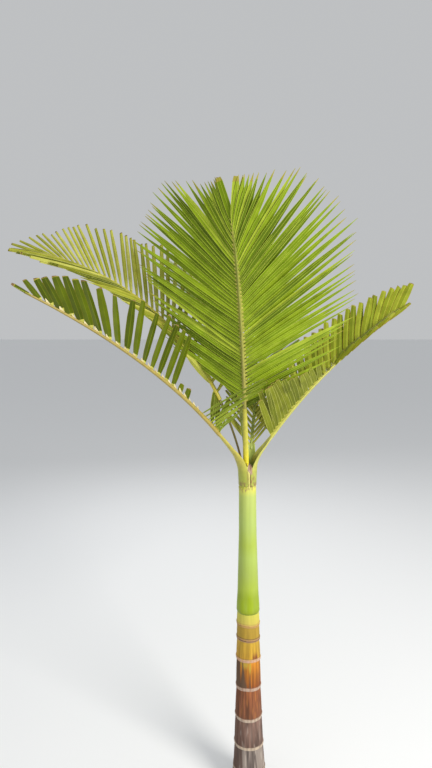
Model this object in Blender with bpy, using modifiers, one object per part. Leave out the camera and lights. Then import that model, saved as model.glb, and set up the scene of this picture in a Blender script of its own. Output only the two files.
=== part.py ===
"""Young crownshaft palm, rooted in level ground.

A ringed, slightly leaning trunk carries a smooth green crownshaft. Six feather
fronds stand on its top: a tall upright one in front, one high and one low on the
left, one on the right and two at the back. The older fronds have trimmed leaflets.
Metres, +Z up. The origin is the middle of the flat cut under the trunk. The palm
is seen from -Y, so +X is its right and +Y its back.
"""

import math

import bmesh
import bpy
import numpy as np
from mathutils import Matrix
from mathutils.bvhtree import BVHTree

# Whole palm
PALM_NAME = "crownshaft_palm"
LEAN = -0.0105              # sideways shift for each metre of height
GAP = 0.0003                # between a piece and the piece that it stands on
LIMB_GAP = 0.0006           # between two lengths of a bent limb

# Trunk
GROUND_RADIUS = 0.072
RING_HEIGHTS = (0.020, 0.085, 0.178, 0.280, 0.388, 0.491, 0.5645, 0.627)
RING_RADII = (0.0680, 0.0585, 0.0536, 0.0492, 0.0445, 0.0432, 0.0406, 0.0404)
RING_PROUD = 0.0022         # how far a leaf scar stands out of the bark
RING_HALF_WIDTH = 0.006
TRUNK_TOP = 0.662
TRUNK_TOP_RADIUS = 0.0365
TURN_STEPS = 22

# Crownshaft: heights above its foot, and the radius at each
SHAFT_HEIGHTS = (0.0, 0.006, 0.028, 0.062, 0.144, 0.251, 0.361, 0.410, 0.440, 0.4632)
SHAFT_RADII = (0.0370, 0.0385, 0.0375, 0.0350, 0.0325, 0.0292, 0.0284, 0.0282, 0.0288, 0.0300)
SHAFT_FOOT = TRUNK_TOP + GAP
SHAFT_TOP = SHAFT_FOOT + SHAFT_HEIGHTS[-1]

# Stalks and ribs
ARC_FOOT = 0.0145           # upright length of a stalk before its arc begins
STALK_FOOT_RADIUS = 0.0070
STALK_SWELL_RADIUS = 0.0084
STALK_END_RADIUS = 0.0060
RIB_END_RADIUS = 0.0018
STALK_POINTS = 8
RIB_POINTS = 15
LIMB_SIDES_RESOLUTION = 1
ARC_STEPS = 240

# Leaflets
LEAFLET_WIDTH = 0.021
WIDTH_OF_SPACING = 0.86     # widest leaflet, as a share of the room beside its neighbour
THICKNESS_SHARE = 0.0125    # of a leaflet's length
LEAFLET_TWIST = 14.0        # degrees about the leaflet's own line
LEAFLET_SINK = 0.7          # share of the rib's radius that a leaflet's root is sunk by
SHORTEST_LEAFLET = 0.045
BEND_MARGIN = 0.010         # kept bare on each side of a bend where a rib is parted
CLEARANCE = 0.0012          # kept round a leaflet when it is tried against other pieces
REACH_TRIES = (1.0, 0.88, 0.76, 0.64, 0.5)
FIRST_SHARE = {"left": 0.35, "right": 0.50}  # a row's first leaflet, in leaflet spacings
POINTED = ((0.0, 0.55), (0.35, 1.0), (0.75, 0.72), (1.0, 0.12))
BLUNT = ((0.0, 0.60), (0.5, 1.0), (1.0, 0.72))

LEAF_COLORS = {
    "fresh": (0.215, 0.335, 0.012, 1.0),
    "lit": (0.430, 0.440, 0.045, 1.0),
    "olive": (0.130, 0.190, 0.010, 1.0),
    "yellow": (0.330, 0.370, 0.030, 1.0),
    "shade": (0.120, 0.210, 0.015, 1.0),
}
STALK_COLOR = (0.560, 0.530, 0.060, 1.0)
SHAFT_COLOR = (0.250, 0.420, 0.060, 1.0)
BARK_COLOR = (0.260, 0.130, 0.060, 1.0)

# Each frond: where its stalk stands on the crownshaft's top, the compass angle it
# grows towards (0 is +X, 90 is +Y), its rise at the foot and how far it droops by
# its tip, all in degrees, then its length, the bare share of it and its two rows of
# leaflets, left and right as one looks out along it. A row gives its leaflets'
# sweep from the rib and lift from the frond's plane in degrees, and their reach, each
# spread evenly along the row. Trims are (from, to, reach) by share of the row.
FRONDS = {
    "upright": {
        "seat": (-0.0045, -0.0100), "azimuth": 244.0, "rise": 87.0, "droop": 12.0, "power": 1.2,
        "length": 0.775, "bare": 0.25, "outline": POINTED, "leaf": "fresh", "bends": (),
        "left": {"count": 21, "sweep": (66, 60, 51, 36, 6), "lift": (20, 20, 15),
                 "reach": (0.31, 0.355, 0.40, 0.425, 0.45, 0.40, 0.345, 0.213, 0.125),
                 "sag": 0.03, "trims": ()},
        "right": {"count": 21, "sweep": (56, 55, 54, 39, 8), "lift": (0, 0, 8),
                  "reach": (0.29, 0.34, 0.39, 0.425, 0.46, 0.4125, 0.362, 0.212, 0.125),
                  "sag": 0.03, "trims": ()},
    },
    "left_low": {
        "seat": (-0.0185, -0.0085), "azimuth": 212.0, "rise": 59.0, "droop": 33.0, "power": 0.65,
        "length": 0.87, "bare": 0.17, "outline": BLUNT, "leaf": "olive", "bends": (),
        "left": {"count": 24, "sweep": (88, 70, 25), "lift": (38, 20, -10),
                 "reach": (0.24, 0.20, 0.20, 0.16, 0.08), "sag": 0.03,
                 "trims": ((0.0, 0.05, 0.10), (0.15, 0.90, 0.012))},
        "right": {"count": 17, "sweep": (86, 64, 20), "lift": (65, 65, 65),
                  "reach": (0.18, 0.18, 0.175, 0.13, 0.085), "sag": 0.02,
                  "trims": ((0.0, 0.12, 0.10), (0.12, 0.2, 0.03))},
    },
    "right": {
        "seat": (0.0165, -0.0020), "azimuth": 23.0, "rise": 59.0, "droop": 29.0, "power": 0.6,
        "length": 0.79, "bare": 0.15, "outline": BLUNT, "leaf": "yellow", "bends": (),
        "left": {"count": 17, "sweep": (72, 48, 18), "lift": (30, 40, 45),
                 "reach": (0.20, 0.20, 0.21, 0.20, 0.145), "sag": 0.02, "trims": ()},
        "right": {"count": 17, "sweep": (86, 68, 20), "lift": (66, 25, -5),
                  "reach": (0.16, 0.18, 0.17, 0.11, 0.05), "sag": 0.03, "trims": ()},
    },
    "left_high": {
        "seat": (-0.0145, 0.0125), "azimuth": 164.0, "rise": 77.0, "droop": 65.0, "power": 1.0,
        "length": 1.06, "bare": 0.22, "outline": BLUNT, "leaf": "lit", "bends": (0.5,),
        "left": {"count": 18, "sweep": (60, 40, 14), "lift": (5, -2, -10),
                 "reach": (0.18, 0.20, 0.20, 0.22, 0.15), "sag": 0.04, "trims": ()},
        "right": {"count": 18, "sweep": (66, 46, 8), "lift": (75, 65, 40),
                  "reach": (0.22, 0.24, 0.265, 0.24, 0.155), "sag": 0.02, "trims": ()},
    },
    "back": {
        "seat": (0.0090, 0.0155), "azimuth": 78.0, "rise": 66.0, "droop": 62.0, "power": 1.0,
        "length": 0.95, "bare": 0.06, "outline": BLUNT, "leaf": "shade", "bends": (0.45,),
        "left": {"count": 17, "sweep": (50, 52, 18), "lift": (30, 20, 10),
                 "reach": (0.07, 0.16, 0.22, 0.20, 0.13), "sag": 0.04, "trims": ()},
        "right": {"count": 17, "sweep": (50, 52, 18), "lift": (30, 20, 10),
                  "reach": (0.07, 0.16, 0.22, 0.20, 0.13), "sag": 0.04, "trims": ()},
    },
    "back_left": {
        "seat": (-0.0010, 0.0045), "azimuth": 114.0, "rise": 80.0, "droop": 58.0, "power": 1.1,
        "length": 0.88, "bare": 0.20, "outline": BLUNT, "leaf": "shade", "bends": (0.5,),
        "left": {"count": 15, "sweep": (62, 52, 18), "lift": (20, 20, 15),
                 "reach": (0.20, 0.23, 0.25, 0.22, 0.14), "sag": 0.04, "trims": ()},
        "right": {"count": 15, "sweep": (62, 52, 18), "lift": (20, 20, 15),
                  "reach": (0.20, 0.23, 0.25, 0.22, 0.14), "sag": 0.04, "trims": ()},
    },
}


def clear_scene():
    """Remove every object that the scene holds."""
    for thing in list(bpy.data.objects):
        bpy.data.objects.remove(thing, do_unlink=True)


def new_collection(name):
    collection = bpy.data.collections.new(name)
    bpy.context.scene.collection.children.link(collection)
    return collection


def finish(name, color, roughness):
    """A Principled material for one sub-part."""
    material = bpy.data.materials.new(name)
    material.use_nodes = True
    shader = material.node_tree.nodes["Principled BSDF"]
    shader.inputs["Base Color"].default_value = color
    shader.inputs["Roughness"].default_value = roughness
    shader.inputs["Metallic"].default_value = 0.0
    return material


def evaluated_mesh(thing):
    """The object's mesh with its modifiers or bevel applied, in world space."""
    bpy.context.view_layer.update()
    graph = bpy.context.evaluated_depsgraph_get()
    mesh = bpy.data.meshes.new_from_object(thing.evaluated_get(graph))
    mesh.transform(thing.matrix_world)
    return mesh


def weld(mesh):
    """Join points that coincide, such as a tube's caps, and point every face outwards."""
    work = bmesh.new()
    work.from_mesh(mesh)
    bmesh.ops.remove_doubles(work, verts=work.verts, dist=0.000001)
    bmesh.ops.recalc_face_normals(work, faces=work.faces)
    work.to_mesh(mesh)
    work.free()
    return mesh


def place(name, mesh, collection, material, parent, smooth_angle=None):
    """Make the sub-part's object from its mesh."""
    mesh.name = name
    mesh.materials.clear()
    mesh.materials.append(material)
    if smooth_angle is not None:
        mesh.shade_smooth()
        mesh.set_sharp_from_angle(angle=math.radians(smooth_angle))
    thing = bpy.data.objects.new(name, mesh)
    collection.objects.link(thing)
    thing.parent = parent
    return thing


def turned(name, profile):
    """Turn (radius, height) points about +Z with a Screw modifier, then give them the lean."""
    points = [(radius, 0.0, height) for radius, height in profile]
    mesh = bpy.data.meshes.new(name)
    mesh.from_pydata(points, [(i, i + 1) for i in range(len(points) - 1)], [])
    thing = bpy.data.objects.new(name, mesh)
    bpy.context.scene.collection.objects.link(thing)
    screw = thing.modifiers.new("turn", "SCREW")
    screw.steps = TURN_STEPS
    screw.render_steps = TURN_STEPS
    screw.use_merge_vertices = True
    screw.merge_threshold = 0.00001
    result = evaluated_mesh(thing)
    bpy.data.objects.remove(thing, do_unlink=True)
    result.transform(Matrix.Shear("XY", 4, (LEAN, 0.0)))
    return weld(result)


def trunk_profile():
    """Outer line of the trunk from its top down to the flat cut at the ground."""
    heights = RING_HEIGHTS[::-1]
    radii = RING_RADII[::-1]
    profile = [(0.0, TRUNK_TOP), (TRUNK_TOP_RADIUS, TRUNK_TOP)]
    for index, (height, radius) in enumerate(zip(heights, radii)):
        profile.append((radius - RING_PROUD, height + RING_HALF_WIDTH))
        profile.append((radius, height))
        profile.append((radius - RING_PROUD, height - RING_HALF_WIDTH))
        if index + 1 < len(heights):
            middle = 0.5 * (height + heights[index + 1])
            profile.append((0.5 * (radius + radii[index + 1]) - 1.4 * RING_PROUD, middle))
    profile.append((GROUND_RADIUS, 0.0))
    profile.append((0.0, 0.0))
    return profile


def shaft_profile():
    """Outer line of the crownshaft from its top down to its bulging foot."""
    line = list(zip(SHAFT_RADII, (SHAFT_FOOT + height for height in SHAFT_HEIGHTS)))
    return [(0.0, SHAFT_TOP)] + line[::-1] + [(0.0, SHAFT_FOOT)]


def spread(values, share):
    """The value at a share of a list of values that are spread evenly from 0 to 1."""
    return float(np.interp(share, np.linspace(0.0, 1.0, len(values)), values))


class Arc:
    """A frond's midline: its rise falls with a power of the share along it, step by step."""

    def __init__(self, frond):
        self.length = frond["length"]
        self.share = np.linspace(0.0, 1.0, ARC_STEPS + 1)
        azimuth = math.radians(frond["azimuth"])
        outward = np.array((math.cos(azimuth), math.sin(azimuth), 0.0))
        upward = np.array((0.0, 0.0, 1.0))
        self.left = np.cross(upward, outward)

        def tangent(share):
            rise = np.radians(frond["rise"] - frond["droop"] * share ** frond["power"])
            return np.cos(rise)[:, None] * outward + np.sin(rise)[:, None] * upward

        middles = 0.5 * (self.share[1:] + self.share[:-1])
        steps = tangent(middles) * (self.length / ARC_STEPS)
        x, y = frond["seat"]
        self.seat = np.array((LEAN * SHAFT_TOP + x, y, SHAFT_TOP + GAP))
        start = self.seat + ARC_FOOT * upward
        self.points = np.vstack([start, start + np.cumsum(steps, axis=0)])
        self.tangents = tangent(self.share)
        self.bare = frond["bare"]

    def _read(self, table, share):
        return np.array([np.interp(share, self.share, table[:, axis]) for axis in range(3)])

    def point(self, share):
        return self._read(self.points, share)

    def tangent(self, share):
        direction = self._read(self.tangents, share)
        return direction / np.linalg.norm(direction)

    def upper(self, share):
        """Direction out of the frond's upper face."""
        return np.cross(self.tangent(share), self.left)

    def radius(self, share):
        """Half the thickness of the stalk or rib."""
        if share < self.bare:
            swell = min(share / (0.3 * self.bare), 1.0)
            foot = STALK_FOOT_RADIUS + (STALK_SWELL_RADIUS - STALK_FOOT_RADIUS) * swell
            return foot + (STALK_END_RADIUS - foot) * share / self.bare
        leafy = (share - self.bare) / (1.0 - self.bare)
        return STALK_END_RADIUS + (RIB_END_RADIUS - STALK_END_RADIUS) * leafy


def limb_mesh(points, radii):
    """A round limb through the points: a bevelled curve with filled caps, made a mesh."""
    curve = bpy.data.curves.new("limb", "CURVE")
    curve.dimensions = "3D"
    curve.bevel_depth = 1.0
    curve.bevel_resolution = LIMB_SIDES_RESOLUTION
    curve.use_fill_caps = True
    spline = curve.splines.new("POLY")
    spline.points.add(len(points) - 1)
    for knot, spot, radius in zip(spline.points, points, radii):
        knot.co = (*spot, 1.0)
        knot.radius = radius
    thing = bpy.data.objects.new("limb", curve)
    bpy.context.scene.collection.objects.link(thing)
    mesh = evaluated_mesh(thing)
    bpy.data.objects.remove(thing, do_unlink=True)
    return weld(mesh)


def stalk_mesh(arc):
    """The bare length of a frond, from its seat on the crownshaft to its first leaflet."""
    last = arc.bare - 0.5 * LIMB_GAP / arc.length
    shares = np.linspace(0.0, last, STALK_POINTS)
    points = [arc.seat] + [arc.point(share) for share in shares]
    radii = [STALK_FOOT_RADIUS] + [arc.radius(share) for share in shares]
    return limb_mesh(points, radii)


def rib_mesh(arc, start, end):
    """The length of a frond's rib between two shares of it."""
    half = 0.5 * LIMB_GAP / arc.length
    last = end if end == 1.0 else end - half
    count = max(4, round(RIB_POINTS * (end - start) / (1.0 - arc.bare)) + 1)
    shares = np.linspace(start + half, last, count)
    return limb_mesh([arc.point(share) for share in shares], [arc.radius(share) for share in shares])


def blade(arc, row, side, outline, spot, reach, room, extra):
    """One leaflet as a closed blade of lozenge sections: (points, faces).

    It leaves the rib at its sweep from the rib's line and its lift from the frond's
    plane, sags with the square of the way along it and is turned a little about itself.
    """
    share = (spot - arc.bare) / (1.0 - arc.bare)
    tangent = arc.tangent(spot)
    sweep = math.radians(spread(row["sweep"], share))
    lift = math.radians(spread(row["lift"], share))
    across = math.cos(lift) * side * arc.left + math.sin(lift) * arc.upper(spot)
    along = math.cos(sweep) * tangent + math.sin(sweep) * across
    face = np.cross(tangent, along)
    face /= np.linalg.norm(face)
    flat = np.cross(face, along)
    twist = math.radians(LEAFLET_TWIST) * side
    wide = math.cos(twist) * flat + math.sin(twist) * face
    thick = np.cross(along, wide)
    sunk = LEAFLET_SINK * arc.radius(spot)
    root = arc.point(spot) - sunk * along
    half_width = 0.5 * min(LEAFLET_WIDTH, WIDTH_OF_SPACING * room * math.sin(sweep)) + extra
    half_thickness = 0.5 * THICKNESS_SHARE * reach + extra
    points = []
    for way, width in outline:
        centre = root + along * (way * (reach + sunk + extra))
        centre = centre - np.array((0.0, 0.0, row["sag"] * reach * way ** 2))
        narrow = 0.55 + 0.45 * width
        points.append(centre + wide * half_width * width)
        points.append(centre + thick * half_thickness * narrow)
        points.append(centre - wide * half_width * width)
        points.append(centre - thick * half_thickness * narrow)
    faces = [(3, 2, 1, 0)]
    for section in range(len(outline) - 1):
        low = 4 * section
        for edge in range(4):
            after = (edge + 1) % 4
            faces.append((low + edge, low + after, low + 4 + after, low + 4 + edge))
    top = 4 * (len(outline) - 1)
    faces.append((top, top + 1, top + 2, top + 3))
    return [tuple(point) for point in points], faces


def row_places(arc, row, first):
    """Where a row's leaflets leave the rib, and how long each is."""
    for index in range(row["count"]):
        share = (index + first) / row["count"]
        reach = spread(row["reach"], share)
        for start, end, trimmed in row["trims"]:
            if start <= share < end:
                reach = trimmed
        yield arc.bare + (1.0 - arc.bare) * share, reach


def frond_mesh(arc, frond, start, end, obstacles):
    """A length of a frond: its rib with every leaflet that keeps clear of other pieces."""
    leaflets = new_collection("leaflets")
    grown = []
    for side, key in ((1, "left"), (-1, "right")):
        row = frond[key]
        room = arc.length * (1.0 - arc.bare) / row["count"]
        first = start + BEND_MARGIN / arc.length * (start > arc.bare)
        last = end - BEND_MARGIN / arc.length * (end < 1.0)
        for spot, full in row_places(arc, row, FIRST_SHARE[key]):
            if full < SHORTEST_LEAFLET or not first < spot < last:
                continue
            for part in REACH_TRIES:
                reach = full * part
                shape = (arc, row, side, frond["outline"], spot, reach, room)
                tried = BVHTree.FromPolygons(*blade(*shape, CLEARANCE))
                if not any(tried.overlap(tree) for tree in obstacles):
                    points, faces = blade(*shape, 0.0)
                    mesh = bpy.data.meshes.new("leaflet")
                    mesh.from_pydata(points, [], faces)
                    leaflets.objects.link(bpy.data.objects.new("leaflet", weld(mesh)))
                    grown.append(BVHTree.FromPolygons(points, faces))
                    break
    rib = bpy.data.objects.new("rib", rib_mesh(arc, start, end))
    bpy.context.scene.collection.objects.link(rib)
    union = rib.modifiers.new("fuse", "BOOLEAN")
    union.operation = "UNION"
    union.operand_type = "COLLECTION"
    union.collection = leaflets
    union.solver = "EXACT"
    mesh = weld(evaluated_mesh(rib))
    for thing in [rib, *leaflets.objects]:
        bpy.data.objects.remove(thing, do_unlink=True)
    bpy.data.collections.remove(leaflets)
    return mesh, grown


def tree_of(mesh):
    """A search tree of a mesh's faces, for tests against other pieces."""
    work = bmesh.new()
    work.from_mesh(mesh)
    tree = BVHTree.FromBMesh(work)
    work.free()
    return tree


def spans(arc, frond):
    """The lengths that a frond is made in: one, or two that part at its bend."""
    bends = frond["bends"]
    if not bends:
        return [("", arc.bare, 1.0)]
    return [("_inner", arc.bare, bends[0]), ("_outer", bends[0], 1.0)]


def build():
    clear_scene()
    palm = new_collection(PALM_NAME)
    root = bpy.data.objects.new("palm_root", None)
    palm.objects.link(root)

    bark = finish("ringed_bark", BARK_COLOR, 0.85)
    sheath = finish("green_sheath", SHAFT_COLOR, 0.42)
    trunk = turned("trunk", trunk_profile())
    shaft = turned("crownshaft", shaft_profile())
    place("trunk", trunk, palm, bark, root, 35)
    place("crownshaft", shaft, palm, sheath, root, 35)

    arcs = {name: Arc(frond) for name, frond in FRONDS.items()}
    ribs = {}
    obstacles = [tree_of(trunk), tree_of(shaft)]
    for name, arc in arcs.items():
        stalk = stalk_mesh(arc)
        place("stalk_" + name, stalk, palm, finish("stalk_" + name, STALK_COLOR, 0.45), root, 50)
        obstacles.append(tree_of(stalk))
        for ending, start, end in spans(arc, FRONDS[name]):
            ribs[name + ending] = tree_of(rib_mesh(arc, start, end))

    for name, frond in FRONDS.items():
        leaf = finish("leaf_" + name, LEAF_COLORS[frond["leaf"]], 0.5)
        for ending, start, end in spans(arcs[name], frond):
            others = [tree for key, tree in ribs.items() if key != name + ending]
            mesh, grown = frond_mesh(arcs[name], frond, start, end, obstacles + others)
            place("frond_" + name + ending, mesh, palm, leaf, root)
            obstacles.extend(grown)


build()
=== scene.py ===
"""Young crownshaft palm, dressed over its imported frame.

Laid out as an add-on and run as a script. Metres, +Z up. The palm is seen from -Y, so
+X is its right and +Y its back. Each frond keeps the midline that it has in the part's
source. Its rows have more leaflets than there, with crowding, widths, angles and
lengths of their own.
"""

import math

import bpy
import numpy as np
from bpy.props import FloatProperty, FloatVectorProperty, IntProperty, PointerProperty
from mathutils import Euler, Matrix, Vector


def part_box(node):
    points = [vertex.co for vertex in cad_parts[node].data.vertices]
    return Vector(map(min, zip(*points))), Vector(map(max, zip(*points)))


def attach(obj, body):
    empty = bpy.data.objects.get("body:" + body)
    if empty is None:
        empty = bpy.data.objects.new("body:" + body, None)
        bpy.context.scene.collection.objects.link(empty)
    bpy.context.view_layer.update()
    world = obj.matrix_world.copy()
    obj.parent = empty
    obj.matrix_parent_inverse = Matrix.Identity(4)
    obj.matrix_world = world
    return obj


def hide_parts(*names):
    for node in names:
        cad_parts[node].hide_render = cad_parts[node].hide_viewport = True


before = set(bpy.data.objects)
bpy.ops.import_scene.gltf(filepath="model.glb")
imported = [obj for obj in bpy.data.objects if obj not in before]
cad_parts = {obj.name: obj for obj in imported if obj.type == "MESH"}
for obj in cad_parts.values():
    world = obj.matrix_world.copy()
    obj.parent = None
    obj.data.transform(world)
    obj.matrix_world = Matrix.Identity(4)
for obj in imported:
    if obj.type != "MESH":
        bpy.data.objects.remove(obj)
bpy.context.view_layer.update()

bl_info = {
    "name": "Crownshaft palm",
    "version": (1, 0, 0),
    "blender": (4, 5, 0),
    "location": "3D View > Sidebar > Palm",
    "description": "Builds a young crownshaft palm piece by piece",
    "category": "Add Mesh",
}

# Places read from the frame
SHEATH_DROP = 0.019         # how far the crownshaft's foot lies below the solid's
TRUNK_LAP = 0.004           # how far the trunk runs up inside the crownshaft
TRUNK_LOW, TRUNK_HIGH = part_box("trunk")
SHAFT_LOW, SHAFT_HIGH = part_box("crownshaft")
GROUND_RADIUS = 0.5 * (TRUNK_HIGH.y - TRUNK_LOW.y)
SHAFT_FOOT = SHAFT_LOW.z - SHEATH_DROP
SHAFT_TOP = SHAFT_HIGH.z
TRUNK_TOP = SHAFT_FOOT + TRUNK_LAP

# Trunk and crownshaft
LEAN = -0.0105              # sideways shift for each metre of height
RING_HEIGHTS = np.array((0.02, 0.085, 0.174, 0.274, 0.381, 0.482, 0.553, 0.604))
RING_RADII = np.array((0.066, 0.056, 0.0513, 0.0473, 0.0438, 0.0428, 0.0406, 0.04))
TRUNK_TOP_RADIUS = 0.0365
TRUNK_GRID = (440, 200)     # rows and columns
STRAY_ROOM = 0.004          # room above the trunk's top for a level that strays
SCAR_HALF_HEIGHT = 0.0058
SCAR_LIPS = ((-0.0026, 0.003, 1.05), (0.0034, 0.0022, 0.75))  # offset, width and share of the scar height
SCAR_GROOVES = ((0.007, 0.0012), (-0.001, 0.0014))            # offset and width
USUAL_DEPTHS = (0.45, 0.1)  # how dark each groove is
GROOVE_DEPTHS = {6: (0.85, 0.85), 7: (0.3, 0.1)}              # at the two topmost scars
SHAFT_HEIGHTS = np.array((0.0, 0.006, 0.03, 0.068, 0.156, 0.268, 0.38, 0.429, 0.459, 0.4822))
SHAFT_RADII = np.array((0.037, 0.0385, 0.0375, 0.035, 0.0325, 0.0292, 0.0284, 0.0282, 0.0288, 0.03))
SHAFT_GRID = (330, 168)
HOLLOW_ROWS = 16            # rows over the rim and down into the hollow

# Stalks and ribs
SEAT_GAP = 0.0003
ARC_FOOT = 0.0145           # upright length of a stalk before its arc begins
STALK_FOOT_RADIUS = 0.0078
STALK_SWELL_RADIUS = 0.0086
STALK_END_RADIUS = 0.0058
RIB_END_RADIUS = 0.0025
ARC_STEPS = 240
PLAIN_SINK = 0.022          # how deep a plain stalk starts below the crownshaft's top
PLAIN_FOOT_RADIUS = 0.008
CLASP_LOW = 0.047           # depth below the top at which a clasping stalk starts
CLASP_LEAVE = 0.012         # depth at which it leaves the crownshaft
CLASP_LAND = 0.075          # share of the arc at which it joins the arc
CLASP_RADIUS = 0.03         # radius of the shell that hugs the crownshaft
CLASP_GAP = 0.0002          # how far its middle stands off the crownshaft's skin

# Leaflets
FIRST_SHARE = {"left": 0.35, "right": 0.5}  # a row's first leaflet, in leaflet spacings
LAST_SHARE = 0.995          # no leaflet stands beyond this share of its row
BASE_LENGTH = 0.012         # pale swollen base of a leaflet
FULL_REACH = 0.13           # a shorter leaflet is narrower in proportion
# Where a leaflet's sections stand along it, of which the second, sixth and seventh are
# set for each leaflet, and where each corner of a section stands across it
LEAFLET_WAYS = (0.0, 0.0, 0.2, 0.42, 0.66, 1.0, 1.0, 1.0)
SECTION_ACROSS = (0.0, 0.05, 0.45, 0.5, 0.55, 0.95, 1.0, 0.95, 0.55, 0.5, 0.45, 0.05)
# Half width along a whole leaflet and along a cut one: (way, share of the widest)
POINTED = np.array(((0.0, 0.42), (0.1, 0.8), (0.32, 1.0), (0.6, 0.88),
                    (0.82, 0.52), (0.95, 0.2), (1.0, 0.05)))
BLUNT = np.array(((0.0, 0.42), (0.12, 0.88), (0.45, 1.0), (0.8, 0.96), (0.94, 0.88), (1.0, 0.62)))
BROWNED_TIMES = (0.4, 1.0, 1.6, 3.2)        # lengths of browned ends, in the frond's own
BROWNED_SHARES = (0.3, 0.4, 0.2, 0.1)       # and how many leaflets have each
STUB_REACH = 0.03           # a leaflet shorter than this is a torn stub
STUB_HALF_WIDTH = 0.0052
STUB_SWEEP = 34.0
STUB_LIFT = 62.0
# A hanging leaflet takes its set's darkest tone as painted shade
HANGING_LIFT = -40.0        # a leaflet with less lift hangs in the shade

# Papery flaps: compass angle, distance from the axis, heights of foot and tip over the
# crownshaft's top, half width and outward lean
FLAP_THICKNESS = 0.0008
FLAPS = (
    (276.0, 0.0292, 0.004, 0.036, 0.0036, 0.002),
    (284.0, 0.0296, 0.0, 0.03, 0.0034, 0.003),
    (292.0, 0.03, -0.006, 0.026, 0.003, 0.003),
    (256.0, 0.024, -0.012, 0.03, 0.0036, -0.004),
    (236.0, 0.0185, -0.01, 0.07, 0.0026, -0.006),
)

# Stage
FLOOR_REACH = 60.0
LIT_POINT = Vector((0.0, 0.0, 1.3))
CAMERA_PLACE = (-0.115, -1.78, 1.6)
CAMERA_PITCH = 6.07         # degrees below level

# Each frond: where its stalk stands on the crownshaft's top, the compass angle it
# grows towards (0 is +X, 90 is +Y), its rise at the foot and how far it droops by its
# tip, all in degrees, and the power of the way along that the droop follows. Then its
# length, the bare share of it, how stout its rib is, the share of each row from which
# its leaflets are cut blunt, the lengths of their browned ends and of the faded parts
# before them, and the colours of its stalk's foot and end and of its rib's foot and
# tip. A clasping stalk hugs the crownshaft over so many degrees to its left and right,
# and is dry and mottled over a share of its half width at both margins. A plain one
# may be slimmer at its foot than where its leaflets begin.
#
# The two rows of leaflets are left and right as one looks out along the frond. A row
# gives the number of its leaflets, where they start as a share of the leafy length,
# their crowding towards the foot and their sag, and the tones met along it. Their
# width, twist, sweep from the rib, lift from the frond's plane and reach stand at
# shares of the row or are spread evenly along it, with angles in degrees. A trim runs
# from one share of the row to another, with the reach at both.
#
# Before them stand what a frond and a row have unless they say otherwise, and what
# both rows of the back frond and both of the back left one share.
FROND_DEFAULTS = {"power": 1.0, "blunt": 0.0, "clasp": None, "dry": 0.25, "slim": 1.0}
ROW_DEFAULTS = {"start": 0.0, "crowd": 1.0, "trims": ()}
# Back fronds: the lit first quarter of the back frond is painted light, and the shade tones on both are
# painted shade, as they stand behind the others
SHADE_ROW = {"count": 38, "crowd": 1.1, "sag": 0.04, "tones": ("lit", "shade", "shade", "shade"),
             "lift": (30, 20, 10)}
STEEP_ROW = {"count": 32, "sag": 0.04, "tones": ("shade",), "width": (0.0195,), "twist": (18,),
             "lift": (20, 20, 15)}
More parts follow.
